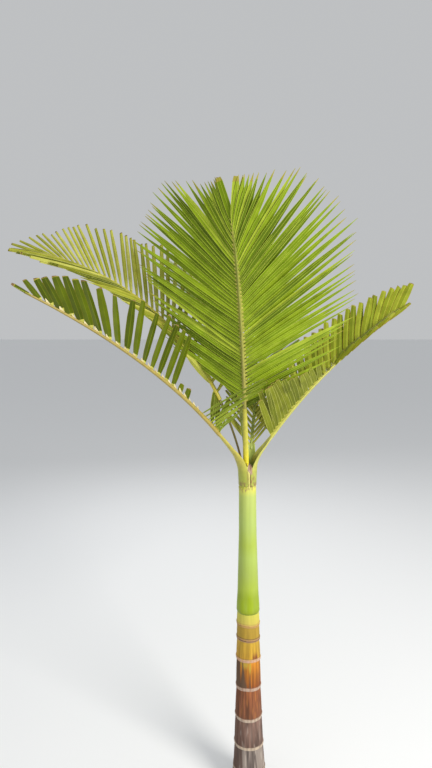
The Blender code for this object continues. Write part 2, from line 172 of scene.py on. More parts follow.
FRONDS = {
    "upright": {
        "seat": (-0.0045, -0.01), "azimuth": 244.0, "rise": 87.0, "droop": 12.0, "power": 1.2,
        "length": 0.775, "bare": 0.25, "stout": 0.95, "blunt": 0.97, "browned": 0.0003, "faded": 0.018,
        "colours": ((0.86, 0.74, 0.022), (0.56, 0.52, 0.07), (0.42, 0.38, 0.085), (0.2, 0.25, 0.02)),
        "nodes": ("frond_upright",), "slot": "fresh_leaf",
        "left": {"start": 0.035, "count": 48, "sag": 0.03, "tones": ("fresh",),
                 "width": (0.014, 0.0155, 0.018, 0.02, 0.021), "twist": (22, 20, 18, 16, 16),
                 "sweep": (68, 64, 60, 55, 51, 44, 36, 22, 8), "lift": (44, 30, 20, 20, 20, 19, 17, 16, 15),
                 "reach": (0.31, 0.355, 0.4, 0.425, 0.45, 0.4, 0.345, 0.213, 0.125)},
        "right": {"start": 0.045, "count": 48, "sag": 0.03, "tones": ("fresh",),
                  "width": (0.016, 0.0162, 0.0172, 0.0188, 0.0205), "twist": (-18, -18, -18, -16, -12),
                  "sweep": (56, 55, 54, 39, 13), "lift": (0, 0, 8),
                  "reach": (0.29, 0.34, 0.39, 0.425, 0.46, 0.4125, 0.362, 0.212, 0.13)},
    },
    "left_low": {
        "seat": (-0.0185, -0.0085), "azimuth": 212.0, "rise": 59.0, "droop": 33.0, "power": 0.65,
        "length": 0.87, "bare": 0.17, "stout": 1.35, "browned": 0.0022, "faded": 0.0015,
        "clasp": (62.0, 57.0),
        "colours": ((0.39, 0.43, 0.06), (0.49, 0.43, 0.07), (0.4, 0.31, 0.06), (0.34, 0.26, 0.05)),
        "nodes": ("frond_left_low",), "slot": "olive_leaf",
        "left": {"count": 32, "crowd": 1.8, "sag": 0.03, "tones": ("fresh",),
                 "width": (0.0068,), "twist": (-6,),
                 "sweep": {0.0: 49, 0.012: 75, 0.03: 74, 0.069: 79, 0.123: 85, 0.2: 80, 1.0: 8},
                 "lift": (38, 34, 20, 5, -10),
                 "reach": {0.0: 0.075, 0.03: 0.119, 0.045: 0.137, 0.069: 0.175, 0.096: 0.255, 0.123: 0.265,
                           0.5: 0.2, 1.0: 0.055},
                 "trims": ((0.135, 0.96, 0.021, 0.016),)},
        # Far row: its olive tones are partly the undersides' own colour and partly painted shade
        "right": {"count": 24, "sag": 0.02, "tones": ("olive",), "twist": (8,), "lift": (65,),
                  "width": {0.0: 0.02, 0.19: 0.02, 0.2: 0.038, 0.275: 0.038, 0.285: 0.0215, 0.5: 0.0225,
                            0.7: 0.0255, 0.85: 0.03, 0.945: 0.03, 0.96: 0.018},
                  "sweep": {0.0: 86, 0.316: 87, 0.416: 90, 0.473: 84, 0.509: 75, 0.554: 76, 0.62: 64, 0.7: 51,
                            0.79: 49, 0.84: 44, 0.883: 43, 0.913: 36, 0.945: 30, 0.96: 7, 1.0: 7},
                  "reach": {0.0: 0.18, 0.316: 0.203, 0.416: 0.221, 0.473: 0.191, 0.509: 0.203, 0.554: 0.176,
                            0.62: 0.164, 0.7: 0.161, 0.79: 0.134, 0.84: 0.116, 0.883: 0.089, 0.928: 0.074,
                            0.97: 0.055, 1.0: 0.05},
                  "trims": ((0.0, 0.06, 0.12, 0.09), (0.06, 0.195, 0.014, 0.014),
                            (0.195, 0.28, 0.044, 0.042))},
    },
    "right": {
        "seat": (0.0165, -0.002), "azimuth": 23.0, "rise": 59.0, "droop": 29.0, "power": 0.6, "dry": 0.65,
        "length": 0.79, "bare": 0.15, "stout": 1.25, "browned": 0.0009, "faded": 0.002,
        "clasp": (60.0, 94.0),
        "colours": ((0.4, 0.45, 0.065), (0.5, 0.49, 0.1), (0.48, 0.47, 0.08), (0.33, 0.33, 0.045)),
        "nodes": ("frond_right",), "slot": "yellow_leaf",
        "left": {"count": 23, "sag": 0.02, "tones": ("yellow",),
                 "width": (0.029, 0.027, 0.025), "twist": (8,),
                 "sweep": (72, 60, 50, 43, 41, 39, 33, 28, 23), "lift": (30, 40, 45),
                 "reach": (0.2, 0.21, 0.22, 0.22, 0.21, 0.2, 0.19, 0.185, 0.15)},
        "right": {"count": 29, "crowd": 1.25, "sag": 0.03, "tones": ("ochre",) * 2 + ("yellow",) * 3,
                  "width": {0.0: 0.022, 0.2: 0.025, 0.4: 0.025, 0.55: 0.032, 1.0: 0.029},
                  "twist": {0.0: 14, 0.4: 12, 0.5: -68, 1.0: -66},
                  "sweep": {0.0: 76, 0.04: 72, 0.13: 83, 0.22: 86, 0.32: 92, 0.42: 92,
                            0.48: 62, 0.53: 42, 1.0: 26},
                  "lift": {0.0: 66, 0.13: 60, 0.3: 55, 0.42: 50, 0.48: 42, 0.53: 40, 0.6: 36, 1.0: 28},
                  "reach": {0.0: 0.17, 0.04: 0.2, 0.13: 0.188, 0.22: 0.146, 0.32: 0.113, 0.42: 0.085,
                            0.48: 0.075, 0.56: 0.085, 0.9: 0.085, 1.0: 0.045}},
    },
    "left_high": {
        "seat": (-0.0145, 0.0125), "azimuth": 164.0, "rise": 77.0, "droop": 65.0, "slim": 0.5,
        "length": 1.06, "bare": 0.22, "stout": 1.3, "browned": 0.001, "faded": 0.002,
        # The stalk's dark brown to olive is partly its own colour and partly painted shade behind the upright
        # frond's stalk
        "colours": ((0.11, 0.06, 0.022), (0.16, 0.13, 0.024), (0.56, 0.48, 0.04), (0.42, 0.42, 0.06)),
        "nodes": ("frond_left_high_inner", "frond_left_high_outer"), "slot": "yellow_leaf",
        "left": {"count": 40, "crowd": 0.95, "sag": 0.04, "blunt": 0.62,
                 # Near row: moss paints shade on the hanging first leaflets, and lit and band alternate along
                 # it as painted light and painted shade
                 "tones": (("moss",) + ("lit", "yellow") * 3 + ("lit", "band", "lit", "lit", "band")
                           + ("band", "lit") * 4),
                 "width": {0.0: 0.02, 0.07: 0.025, 0.2: 0.022, 0.5: 0.0165, 0.7: 0.015, 1.0: 0.015},
                 "twist": {0.0: 0, 0.055: 0, 0.07: -72, 0.25: -66, 0.4: -26, 0.5: -24, 0.66: -44, 1.0: -46},
                 "sweep": {0.0: 150, 0.055: 142, 0.07: 8, 0.25: 18, 0.5: 23, 0.62: 22, 0.7: 22, 0.76: 19,
                           0.8: 15, 0.83: 12, 0.86: 11, 0.9: 8, 0.94: 5, 1.0: 3},
                 "lift": {0.0: -60, 0.055: -50, 0.07: -20, 0.25: -34, 0.5: -34, 0.7: -22, 1.0: -25},
                 "reach": {0.0: 0.11, 0.055: 0.13, 0.07: 0.15, 0.3: 0.17, 0.5: 0.18, 0.62: 0.22, 0.7: 0.275,
                           0.76: 0.264, 0.8: 0.242, 0.83: 0.221, 0.86: 0.231, 0.9: 0.219, 0.94: 0.194,
                           1.0: 0.15}},
        # Far row: its lit tones are painted light, as if sun glows through the leaflets
        "right": {"count": 34, "crowd": 0.85, "sag": 0.02, "tones": ("lit",),
                  "twist": (16,), "lift": (75, 65, 40),
                  "width": {0.0: 0.0165, 0.5: 0.015, 0.7: 0.013, 0.85: 0.0105, 1.0: 0.0115},
                  "sweep": {0.0: 60, 0.2: 50, 0.375: 42, 0.44: 41, 0.54: 43, 0.6: 45, 0.64: 43, 0.71: 37,
                            0.785: 35, 0.86: 31, 0.91: 27, 0.95: 18, 0.98: 10, 1.0: 6},
                  "reach": {0.0: 0.22, 0.2: 0.27, 0.375: 0.29, 0.44: 0.257, 0.49: 0.241, 0.6: 0.233,
                            0.71: 0.252, 0.785: 0.23, 0.82: 0.218, 0.86: 0.194, 0.94: 0.18, 1.0: 0.17}},
    },
    "back": {
        "seat": (0.009, 0.0155), "azimuth": 78.0, "rise": 66.0, "droop": 62.0,
        "length": 0.95, "bare": 0.06, "stout": 1.0, "browned": 0.0015, "faded": 0.004,
        "clasp": (62.0, 50.0),
        "colours": ((0.42, 0.5, 0.11), (0.38, 0.46, 0.1), (0.33, 0.4, 0.08), (0.18, 0.24, 0.02)),
        "nodes": ("frond_back_inner", "frond_back_outer"), "slot": "shade_leaf",
        "left": {**SHADE_ROW, "width": (0.0095, 0.0165, 0.02), "twist": (-10, 0, 14, 18),
                 "sweep": (46, 46, 52, 40, 18), "reach": (0.14, 0.18, 0.22, 0.2, 0.13)},
        "right": {**SHADE_ROW, "width": (0.0085, 0.016, 0.02), "twist": (-30, -22, 0, 14),
                  "sweep": (42, 48, 52, 40, 18), "reach": (0.12, 0.17, 0.22, 0.2, 0.13)},
    },
    "back_left": {
        "seat": (-0.001, 0.0045), "azimuth": 114.0, "rise": 80.0, "droop": 58.0, "power": 1.1, "slim": 0.8,
        "length": 0.88, "bare": 0.2, "stout": 1.0, "browned": 0.0015, "faded": 0.004,
        "colours": ((0.2, 0.22, 0.03), (0.26, 0.3, 0.05), (0.33, 0.38, 0.06), (0.18, 0.24, 0.02)),
        "nodes": ("frond_back_left_inner", "frond_back_left_outer"), "slot": "shade_leaf",
        "left": {**STEEP_ROW, "sweep": {0.0: 28, 0.2: 50, 0.5: 52, 1.0: 18},
                 "reach": {0.0: 0.1, 0.15: 0.16, 0.3: 0.23, 0.5: 0.25, 0.75: 0.22, 1.0: 0.14}},
        "right": {**STEEP_ROW, "sweep": (62, 52, 18), "reach": (0.2, 0.23, 0.25, 0.22, 0.14)},
    },
}

# Bark from the ground up: the colour at the bottom and at the top of each length between
# leaf scars, and the colour of each scar
BARK_COLOURS = (
    ((0.085, 0.06, 0.048), (0.095, 0.07, 0.057)),
    ((0.1, 0.077, 0.065), (0.122, 0.096, 0.083)),
    ((0.135, 0.105, 0.092), (0.185, 0.148, 0.13)),
    ((0.165, 0.098, 0.076), (0.235, 0.14, 0.108)),
    ((0.245, 0.09, 0.04), (0.3, 0.1, 0.038)),
    ((0.265, 0.068, 0.015), (0.62, 0.24, 0.018)),
    ((0.58, 0.32, 0.03), (0.54, 0.34, 0.036)),
    ((0.43, 0.27, 0.03), (0.43, 0.28, 0.036)),
    ((0.6, 0.48, 0.09), (0.58, 0.56, 0.085)),
)
SCAR_COLOURS = (
    (0.36, 0.29, 0.22), (0.42, 0.34, 0.26), (0.6, 0.48, 0.36), (0.56, 0.45, 0.35),
    (0.55, 0.41, 0.32), (0.63, 0.4, 0.28), (0.42, 0.24, 0.135), (0.52, 0.31, 0.105),
)

# Colours laid over the bark and the sheath where a named value of the piece is 1: stains and sheath
# layers the palm has, with painted shade on the bark's left side, away from the key light, and in
# the sheath's hollow between the stalks
BARK_STAINS_AND_SHADE = {
    "orange_stain": (0.42, 0.16, 0.04), "yellow_stain": (0.48, 0.33, 0.04),
    "brown_stain": (0.23, 0.07, 0.02), "grey_stain": (0.12, 0.066, 0.034),
    # Painted shade: dark red-brown laid on the trunk's left side, away from the key light
    "painted_shade": (0.085, 0.03, 0.012), "pale_stain": (0.42, 0.35, 0.3),
}
SHEATH_LAYERS_AND_SHADE = {
    "inner": (0.5, 0.52, 0.07), "pale_strip": (0.76, 0.7, 0.22), "dry_strip": (0.3, 0.17, 0.085),
    # The hollow's dark colour is painted shade in the cup between the stalks
    "rim": (0.33, 0.23, 0.1), "hollow": (0.1, 0.085, 0.02),
}

# Leaflet colours: four tones from the darkest to the palest, then the midrib and the margin.
# The lit set is painted light, as bright as sunlit leaflets that glow; the shade, moss and band
# sets are painted shade for leaflets that hang and for those behind others; the olive set is
# partly the undersides' own colour and partly painted shade.
LEAF_TONES = {
    "fresh": ((0.105, 0.165, 0.003), (0.17, 0.26, 0.004), (0.225, 0.325, 0.007), (0.35, 0.44, 0.03),
              (0.34, 0.42, 0.04), (0.42, 0.49, 0.06)),
    "olive": ((0.06, 0.084, 0.001), (0.078, 0.108, 0.001), (0.096, 0.129, 0.002), (0.12, 0.15, 0.003),
              (0.125, 0.155, 0.004), (0.16, 0.14, 0.015)),
    "yellow": ((0.165, 0.205, 0.008), (0.22, 0.26, 0.012), (0.27, 0.31, 0.02), (0.345, 0.375, 0.04),
               (0.34, 0.36, 0.04), (0.34, 0.25, 0.03)),
    "lit": ((0.3, 0.33, 0.025), (0.39, 0.41, 0.045), (0.45, 0.465, 0.065), (0.53, 0.54, 0.11),
            (0.5, 0.5, 0.09), (0.48, 0.43, 0.06)),
    "moss": ((0.11, 0.14, 0.008), (0.15, 0.185, 0.012), (0.19, 0.225, 0.018), (0.26, 0.29, 0.04),
             (0.28, 0.31, 0.05), (0.36, 0.37, 0.08)),
    "band": ((0.07, 0.092, 0.002), (0.1, 0.122, 0.003), (0.13, 0.148, 0.005), (0.22, 0.235, 0.015),
             (0.28, 0.295, 0.03), (0.52, 0.52, 0.14)),
    "ochre": ((0.07, 0.092, 0.003), (0.13, 0.155, 0.006), (0.185, 0.21, 0.01), (0.27, 0.3, 0.025),
              (0.28, 0.3, 0.035), (0.46, 0.47, 0.11)),
    "shade": ((0.095, 0.15, 0.008), (0.13, 0.2, 0.01), (0.17, 0.24, 0.015), (0.23, 0.3, 0.03),
              (0.25, 0.32, 0.04), (0.25, 0.3, 0.045)),
}
MIDRIB_TONE, MARGIN_TONE = 4, 5
TONE_SHARES = (0.22, 0.34, 0.3, 0.14)

# Finishes that all leaflets share, in their order before the tones
BASE, FADED, BROWNED, TORN = range(4)


class PalmTrunkSettings(bpy.types.PropertyGroup):
    """Sizes of the trunk's relief."""

    scar_height: FloatProperty(
        name="Leaf scar height", description="How far a leaf scar stands out of the bark",
        default=0.0026, min=0.0, max=0.006, unit="LENGTH")
    scar_wobble: FloatProperty(
        name="Leaf scar wobble", description="How far a leaf scar strays from its level",
        default=0.0014, min=0.0, max=0.004, unit="LENGTH")
    fibre_depth: FloatProperty(
        name="Fibre depth", description="Depth of the upright fibres in the bark",
        default=0.00035, min=0.0, max=0.001, unit="LENGTH")


class PalmShaftSettings(bpy.types.PropertyGroup):
    """Sizes and colours of the crownshaft."""

    edge_height: FloatProperty(
        name="Outer sheath edge", description="Height of the ragged top edge of the outer sheath",
        default=1.08, min=0.9, max=1.12, unit="LENGTH")
    sheath_thickness: FloatProperty(
        name="Sheath thickness", description="Step from the outer sheath to the next one in",
        default=0.0016, min=0.0, max=0.003, unit="LENGTH")
    foot_colour: FloatVectorProperty(
        name="Foot colour", description="Colour of the bulging foot",
        subtype="COLOR", size=3, min=0.0, max=1.0, default=(0.31, 0.42, 0.007))
    top_colour: FloatVectorProperty(
        name="Top colour", description="Colour under the ragged edge",
        subtype="COLOR", size=3, min=0.0, max=1.0, default=(0.49, 0.58, 0.135))


class PalmFrondSettings(bpy.types.PropertyGroup):
    """Sizes and colours of the fronds."""

    fold: FloatProperty(
        name="Leaflet fold", description="How far each half of a leaflet hangs from its midrib",
        default=math.radians(13.0), min=0.0, max=1.0, subtype="ANGLE", unit="ROTATION")
    leaflet_thickness: FloatProperty(
        name="Leaflet thickness", description="Thickness of a leaflet beside its midrib",
        default=0.0006, min=0.0002, max=0.002, unit="LENGTH")
    midrib_half_width: FloatProperty(
        name="Midrib half width", description="Half the width of a leaflet's raised midrib",
        default=0.0007, min=0.0002, max=0.002, unit="LENGTH")
    margin_width: FloatProperty(
        name="Margin width", description="Width of the pale margin of a leaflet",
        default=0.001, min=0.0, max=0.003, unit="LENGTH")
    seed: IntProperty(
        name="Seed", description="Seed of the small differences among leaflets", default=7, min=0)
    base_colour: FloatVectorProperty(
        name="Leaflet base colour", description="Colour of the leaflets' swollen bases",
        subtype="COLOR", size=3, min=0.0, max=1.0, default=(0.46, 0.45, 0.085))
    browned_colour: FloatVectorProperty(
        name="Browned colour", description="Colour of the dry ends of cut leaflets",
        subtype="COLOR", size=3, min=0.0, max=1.0, default=(0.13, 0.08, 0.026))


class PalmStageSettings(bpy.types.PropertyGroup):
    """Light, floor and camera."""

    key_power: FloatProperty(
        name="Key light", description="Power of the soft light on the right",
        default=158.0, min=0.0, unit="POWER")
    fill_power: FloatProperty(
        name="Fill light", description="Power of the soft light on the left",
        default=4.0, min=0.0, unit="POWER")
    back_power: FloatProperty(
        name="Back light", description="Power of the soft light behind the palm",
        default=40.0, min=0.0, unit="POWER")
    sky_strength: FloatProperty(
        name="Surround", description="Brightness of the pale surround", default=0.54, min=0.0)
    floor_colour: FloatVectorProperty(
        name="Floor colour", description="Colour of the floor",
        subtype="COLOR", size=3, min=0.0, max=1.0, default=(0.86, 0.87, 0.88))
    lens: FloatProperty(
        name="Lens", description="Focal length of the camera in millimetres",
        default=26.0, min=10.0, unit="CAMERA")


# Shape helpers

def unit(vectors):
    """Vectors divided by their own lengths."""
    return vectors / np.linalg.norm(vectors, axis=-1, keepdims=True)


def spread(values, share):
    """The value at a share, from values named by their shares or spread evenly from 0 to 1."""
    if isinstance(values, dict):
        return np.interp(share, list(values), list(values.values()))
    return np.interp(share, np.linspace(0.0, 1.0, len(values)), values)


def ease(low, high, value):
    """0 below low and 1 above high, with 3t^2 - 2t^3 between them."""
    share = np.clip((value - low) / (high - low), 0.0, 1.0)
    return share * share * (3.0 - 2.0 * share)


def bell(offset, width, power=2):
    """1 at no offset, falling to nothing beyond the width, and the squarer the higher the power."""
    return np.exp(-(offset / width) ** power)


def between(low, high, soft, value):
    """1 between low and high with soft edges inside them, and 0 outside."""
    return ease(low, low + soft, value) * ease(high, high - soft, value)


def turned(radius, around, height):
    """Points at a radius from the upright axis, at each angle around it and each height."""
    return np.stack([radius * np.cos(around), radius * np.sin(around), height + 0.0 * around], -1)


def ripples(around, height, seed, waves, turns, rise):
    """A sum of cosines, each of a whole number of turns around and its own rate of rise.

    The turns lie between the two numbers of turns, the rate up the height within plus
    or minus rise radians a metre, and the sum is divided by the root of the count.
    """
    generator = np.random.default_rng(seed)
    total = np.zeros(np.broadcast(around, height).shape)
    for _ in range(waves):
        count = generator.integers(turns[0], turns[1] + 1)
        rate = generator.uniform(-rise, rise)
        phase = generator.uniform(0.0, 2.0 * math.pi)
        total += np.cos(count * around + rate * height + phase)
    return total / math.sqrt(waves)


def tube_faces(rows, columns):
    """Quads of a tube of rows by columns points, closed round, and a face at each end."""
    row = np.arange(rows - 1)[:, None] * columns
    column = np.arange(columns)[None, :]
    after = (column + 1) % columns
    quads = np.stack([row + column, row + after, row + columns + after, row + columns + column], -1)
    first = list(range(columns))[::-1]
    last = list(range((rows - 1) * columns, rows * columns))
    return quads.reshape(-1, 4).tolist() + [first, last]


def add_piece(name, points, faces, materials, nodes=(), kinds=None, uv=None, values=None, crease=40.0):
    """A finished piece: its mesh with materials, a UV map and named values, riding on the palm."""
    mesh = bpy.data.meshes.new(name)
    mesh.from_pydata(np.asarray(points).reshape(-1, 3).tolist(), [], faces)
    for material in materials:
        mesh.materials.append(material)
    if kinds is not None:
        mesh.polygons.foreach_set("material_index", np.asarray(kinds, dtype=np.int32))
    if uv is not None:
        layer = mesh.uv_layers.new(name="UVMap")
        corners = np.empty(len(mesh.loops), dtype=np.int64)
        mesh.loops.foreach_get("vertex_index", corners)
        layer.data.foreach_set("uv", uv.reshape(-1, 2)[corners].astype(np.float32).ravel())
    for key, numbers in (values or {}).items():
        attribute = mesh.attributes.new(key, "FLOAT", "POINT")
        attribute.data.foreach_set("value", np.asarray(numbers, dtype=np.float32).ravel())
    mesh.shade_smooth()
    mesh.set_sharp_from_angle(angle=math.radians(crease))
    mesh.update()
    piece = bpy.data.objects.new(name, mesh)
    bpy.context.scene.collection.objects.link(piece)
    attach(piece, "root")
    if nodes:
        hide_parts(*nodes)
    return piece


# Material helpers

class Finish:
    """A Principled material whose nodes are added and joined one by one."""

    def __init__(self, name, colour, roughness, specular=0.5):
        self.material = bpy.data.materials.new(name)
        self.material.use_nodes = True
        self.material.diffuse_color = (*colour, 1.0)
        self.nodes = self.material.node_tree.nodes
        self.links = self.material.node_tree.links
        self.surface = self.nodes["Principled BSDF"].inputs
        self.give(self.surface["Base Color"], colour)
        self.give(self.surface["Roughness"], roughness)
        self.give(self.surface["Specular IOR Level"], specular)
        self.places = self.nodes.new("ShaderNodeTexCoord").outputs
        self.relief = None

    def give(self, socket, source):
        """A socket is joined to an output, or set to a number, a scale or a colour."""
        if isinstance(source, bpy.types.NodeSocket):
            self.links.new(source, socket)
        elif socket.type == "RGBA":
            socket.default_value = (*source, 1.0)
        else:
            socket.default_value = source

    def add(self, kind, inputs, **options):
        """A new node with its options set and each of its inputs given its source."""
        node = self.nodes.new(kind)
        for key, option in options.items():
            setattr(node, key, option)
        for key, source in inputs.items():
            self.give(node.inputs[key], source)
        return node

    def noise(self, scale, detail):
        """Noise over the piece's coordinates stretched by a scale for each axis, 0 to 1."""
        mapping = self.add("ShaderNodeMapping", {"Vector": self.places["Object"], "Scale": scale})
        inputs = {"Vector": mapping.outputs["Vector"], "Scale": 1.0, "Detail": detail}
        return self.add("ShaderNodeTexNoise", inputs).outputs["Fac"]

    def value(self, name):
        """A named value of the piece."""
        return self.add("ShaderNodeAttribute", {}, attribute_name=name).outputs["Fac"]

    def axis_z(self):
        """Height of a point."""
        return self.add("ShaderNodeSeparateXYZ", {"Vector": self.places["Object"]}).outputs["Z"]

    def ranged(self, output, low, high, to_low=0.0, to_high=1.0):
        """A value moved from one range to another, and kept within it."""
        inputs = {"Value": output, "From Min": low, "From Max": high, "To Min": to_low, "To Max": to_high}
        return self.add("ShaderNodeMapRange", inputs).outputs["Result"]

    def times(self, first, second):
        """The product of two values."""
        return self.add("ShaderNodeMath", {0: first, 1: second}, operation="MULTIPLY").outputs["Value"]

    def ramp(self, output, stops):
        """Colours at places from 0 to 1."""
        node = self.add("ShaderNodeValToRGB", {"Fac": output})
        elements = node.color_ramp.elements
        while len(elements) < len(stops):
            elements.new(0.5)
        for element, (place, colour) in zip(elements, stops):
            element.position = place
            element.color = (*colour, 1.0)
        return node.outputs["Color"]

    def mixed(self, share, first, second, blend="MIX"):
        """First where the share is 0 and second where it is 1; each is an output or a colour."""
        node = self.add("ShaderNodeMix", {0: share, 6: first, 7: second}, data_type="RGBA", blend_type=blend)
        return node.outputs[2]

    def shaded(self, share, colour, low, high):
        """A colour made darker or lighter from low to high along a share."""
        depth = self.ramp(share, ((0.0, (low,) * 3), (1.0, (high,) * 3)))
        return self.mixed(1.0, colour, depth, "MULTIPLY")

    def covered(self, colour, layers):
        """A colour under layers, each seen where its named value is 1."""
        for name, tone in layers.items():
            colour = self.mixed(self.value(name), colour, tone)
        return colour

    def bump(self, output, strength, distance):
        """Relief too fine for the mesh; later calls add to earlier ones."""
        inputs = {"Strength": strength, "Distance": distance, "Height": output}
        if self.relief is not None:
            inputs["Normal"] = self.relief
        self.relief = self.add("ShaderNodeBump", inputs).outputs["Normal"]
        self.give(self.surface["Normal"], self.relief)


def bark_material():
    """Ringed bark: internode colours by height, pale leaf scars, stains, painted shade on the left side and
    upright fibres.
    """
    bark = Finish("ringed_bark", (0.3, 0.16, 0.07), 0.78, 0.35)
    height = bark.ranged(bark.axis_z(), 0.0, TRUNK_TOP)
    edges = np.concatenate([[0.0], RING_HEIGHTS, [TRUNK_TOP]]) / TRUNK_TOP
    stops = []
    for (bottom, top), low, high in zip(BARK_COLOURS, edges[:-1], edges[1:]):
        stops.append((low + 0.002, bottom))
        stops.append((high - 0.002, top))
    fibres = bark.noise((135.0, 135.0, 8.0), 4.0)
    broad = bark.noise((34.0, 34.0, 9.0), 3.0)
    clean = bark.ramp(height, stops)
    colour = bark.shaded(bark.ranged(fibres, 0.35, 0.65), clean, 0.55, 1.3)
    colour = bark.shaded(bark.ranged(broad, 0.3, 0.7), colour, 0.74, 1.18)
    colour = bark.mixed(bark.value("worn"), clean, colour)
    colour = bark.covered(colour, BARK_STAINS_AND_SHADE)
    scars = bark.ramp(height, list(zip(edges[1:-1], SCAR_COLOURS)))
    colour = bark.covered(colour, {"scar": scars, "groove": (0.095, 0.055, 0.035)})
    bark.give(bark.surface["Base Color"], colour)
    bark.give(bark.surface["Roughness"], bark.ranged(broad, 0.3, 0.7, 0.62, 0.88))
    bark.bump(fibres, 0.45, 0.0012)
    bark.bump(bark.noise((420.0, 420.0, 160.0), 2.0), 0.25, 0.0005)
    return bark.material


def sheath_material(settings):
    """Waxy crownshaft: lime foot to pale top, dry ragged edge, strips at the opening, and painted shade in
    the hollow between the stalks.
    """
    sheath = Finish("green_sheath", (0.4, 0.52, 0.08), 0.42, 0.32)
    height = sheath.ranged(sheath.axis_z(), SHAFT_FOOT, SHAFT_TOP)
    colour = sheath.ramp(height, (
        (0.0, (0.15, 0.21, 0.008)),
        (0.014, (0.28, 0.35, 0.01)),
        (0.045, tuple(settings.foot_colour)),
        (0.12, (0.3, 0.4, 0.008)),
        (0.18, (0.37, 0.475, 0.045)),
        (0.28, (0.365, 0.465, 0.078)),
        (0.4, (0.4, 0.52, 0.105)),
        (0.49, (0.39, 0.5, 0.07)),
        (0.64, (0.42, 0.54, 0.11)),
        (0.83, tuple(settings.top_colour)),
        (0.88, (0.69, 0.68, 0.1)),
        (1.0, (0.56, 0.58, 0.1)),
    ))
    streaks = sheath.noise((95.0, 95.0, 2.2), 3.0)
    bloom = sheath.noise((16.0, 16.0, 5.0), 3.0)
    colour = sheath.shaded(sheath.ranged(streaks, 0.3, 0.7), colour, 0.92, 1.06)
    colour = sheath.mixed(sheath.ranged(bloom, 0.52, 0.8, 0.0, 0.3), colour, (0.52, 0.6, 0.3))
    sheath.give(sheath.surface["Base Color"], sheath.covered(colour, SHEATH_LAYERS_AND_SHADE))
    sheath.give(sheath.surface["Roughness"], sheath.ranged(bloom, 0.3, 0.8, 0.34, 0.52))
    sheath.bump(streaks, 0.18, 0.0009)
    return sheath.material


def stalk_material(name, low, high):
    """Smooth stalk or rib, from one colour at its foot to another at its end."""
    stalk = Finish(name, low, 0.42)
    colour = stalk.mixed(stalk.value("along"), low, high)
    grain = stalk.noise((70.0,) * 3, 3.0)
    colour = stalk.shaded(stalk.ranged(grain, 0.3, 0.7), colour, 0.86, 1.1)
    mottle = stalk.ranged(stalk.noise((120.0, 120.0, 70.0), 4.0), 0.4, 0.54)
    colour = stalk.mixed(stalk.times(stalk.value("margin"), mottle), colour, (0.26, 0.13, 0.055))
    stalk.give(stalk.surface["Base Color"], colour)
    stalk.bump(grain, 0.12, 0.0006)
    return stalk.material


def leaf_material(name, colour, roughness=0.5):
    """Leaflet face: fine veins along it and slight mottling."""
    leaf = Finish(name, colour, roughness, 0.16)
    veins = leaf.add("ShaderNodeTexWave", {"Vector": leaf.places["UV"], "Scale": 3.2}, bands_direction="X")
    mottle = leaf.ranged(leaf.noise((26.0,) * 3, 2.0), 0.3, 0.7)
    tone = leaf.shaded(mottle, colour, 0.84, 1.14)
    leaf.give(leaf.surface["Base Color"], leaf.shaded(veins.outputs["Fac"], tone, 0.9, 1.06))
    leaf.bump(veins.outputs["Fac"], 0.1, 0.0003)
    return leaf.material


def dry_material(name, dark, pale, stretch):
    """Dry torn tissue: fibres of two colours."""
    dry = Finish(name, dark, 0.85, 0.25)
    fibres = dry.noise(stretch, 4.0)
    dry.give(dry.surface["Base Color"], dry.mixed(dry.ranged(fibres, 0.35, 0.65), dark, pale))
    dry.bump(fibres, 0.5, 0.0008)
    return dry.material


# Trunk and crownshaft

def lean(points):
    """Points moved sideways in proportion to their height, as the trunk leans."""
    points[..., 0] += LEAN * points[..., 2]
    return points


def trunk_grid(settings):
    """The trunk's skin as a function of the angle around and the height.

    Between two leaf scars the radius runs from the lower one's to the upper one's and is
    drawn in towards the upper one. Each scar is two bell-shaped lips with a groove
    between them and one above, at a level that strays with the angle. Cosine ripples
    make the upright fibres.
    """
    rows, columns = TRUNK_GRID
    around = np.linspace(0.0, 2.0 * math.pi, columns, endpoint=False)[None, :]
    height = np.linspace(0.0, TRUNK_TOP, rows)[:, None]
    stray = np.sin(around + 14.0 * height) + 0.45 * np.sin(3.0 * around - 23.0 * height)
    stray = settings.scar_wobble * stray + 0.0015 * np.cos(2.0 * around)
    level = height + stray * ease(0.0, 0.012, height)
    levels = np.concatenate([[0.0], RING_HEIGHTS, [TRUNK_TOP + STRAY_ROOM]])
    radii = np.concatenate([[GROUND_RADIUS], RING_RADII, [TRUNK_TOP_RADIUS + settings.scar_height]])
    index = np.clip(np.searchsorted(levels, level) - 1, 0, len(levels) - 2)
    share = np.clip((level - levels[index]) / (levels[index + 1] - levels[index]), 0.0, 1.0)
    radius = radii[index] + (radii[index + 1] - radii[index]) * share ** 0.9
    draw = settings.scar_height * (0.75 + 0.75 * share ** 3)
    radius = radius - draw * ease(0.0, 0.016, height)
    scar, groove, lips = (np.zeros_like(level) for _ in range(3))
    for number, ring in enumerate(RING_HEIGHTS):
        offset = level - ring
        scar += bell(offset, SCAR_HALF_HEIGHT, 6)
        for place, width, part in SCAR_LIPS:
            lips += settings.scar_height * part * bell(offset - place, width)
        for (place, width), depth in zip(SCAR_GROOVES, GROOVE_DEPTHS.get(number, USUAL_DEPTHS)):
            groove += depth * bell(offset - place, width)
    old = ease(0.52, 0.1, height)
    bare = 1.0 - np.clip(scar, 0.0, 1.0)
    fibres = ripples(around, height, 11, 26, (24, 70), 9.0)
    coarse = ripples(around, height, 12, 12, (3, 11), 22.0)
    radius = radius + lips
    radius = radius + settings.fibre_depth * (0.25 + 0.75 * old) * fibres * (0.35 + 0.65 * bare)
    radius = radius + 0.00045 * (0.4 + old) * coarse * ease(0.0, 0.01, height)
    return lean(turned(radius, around, height)), trunk_values(around, height, level, scar, groove)


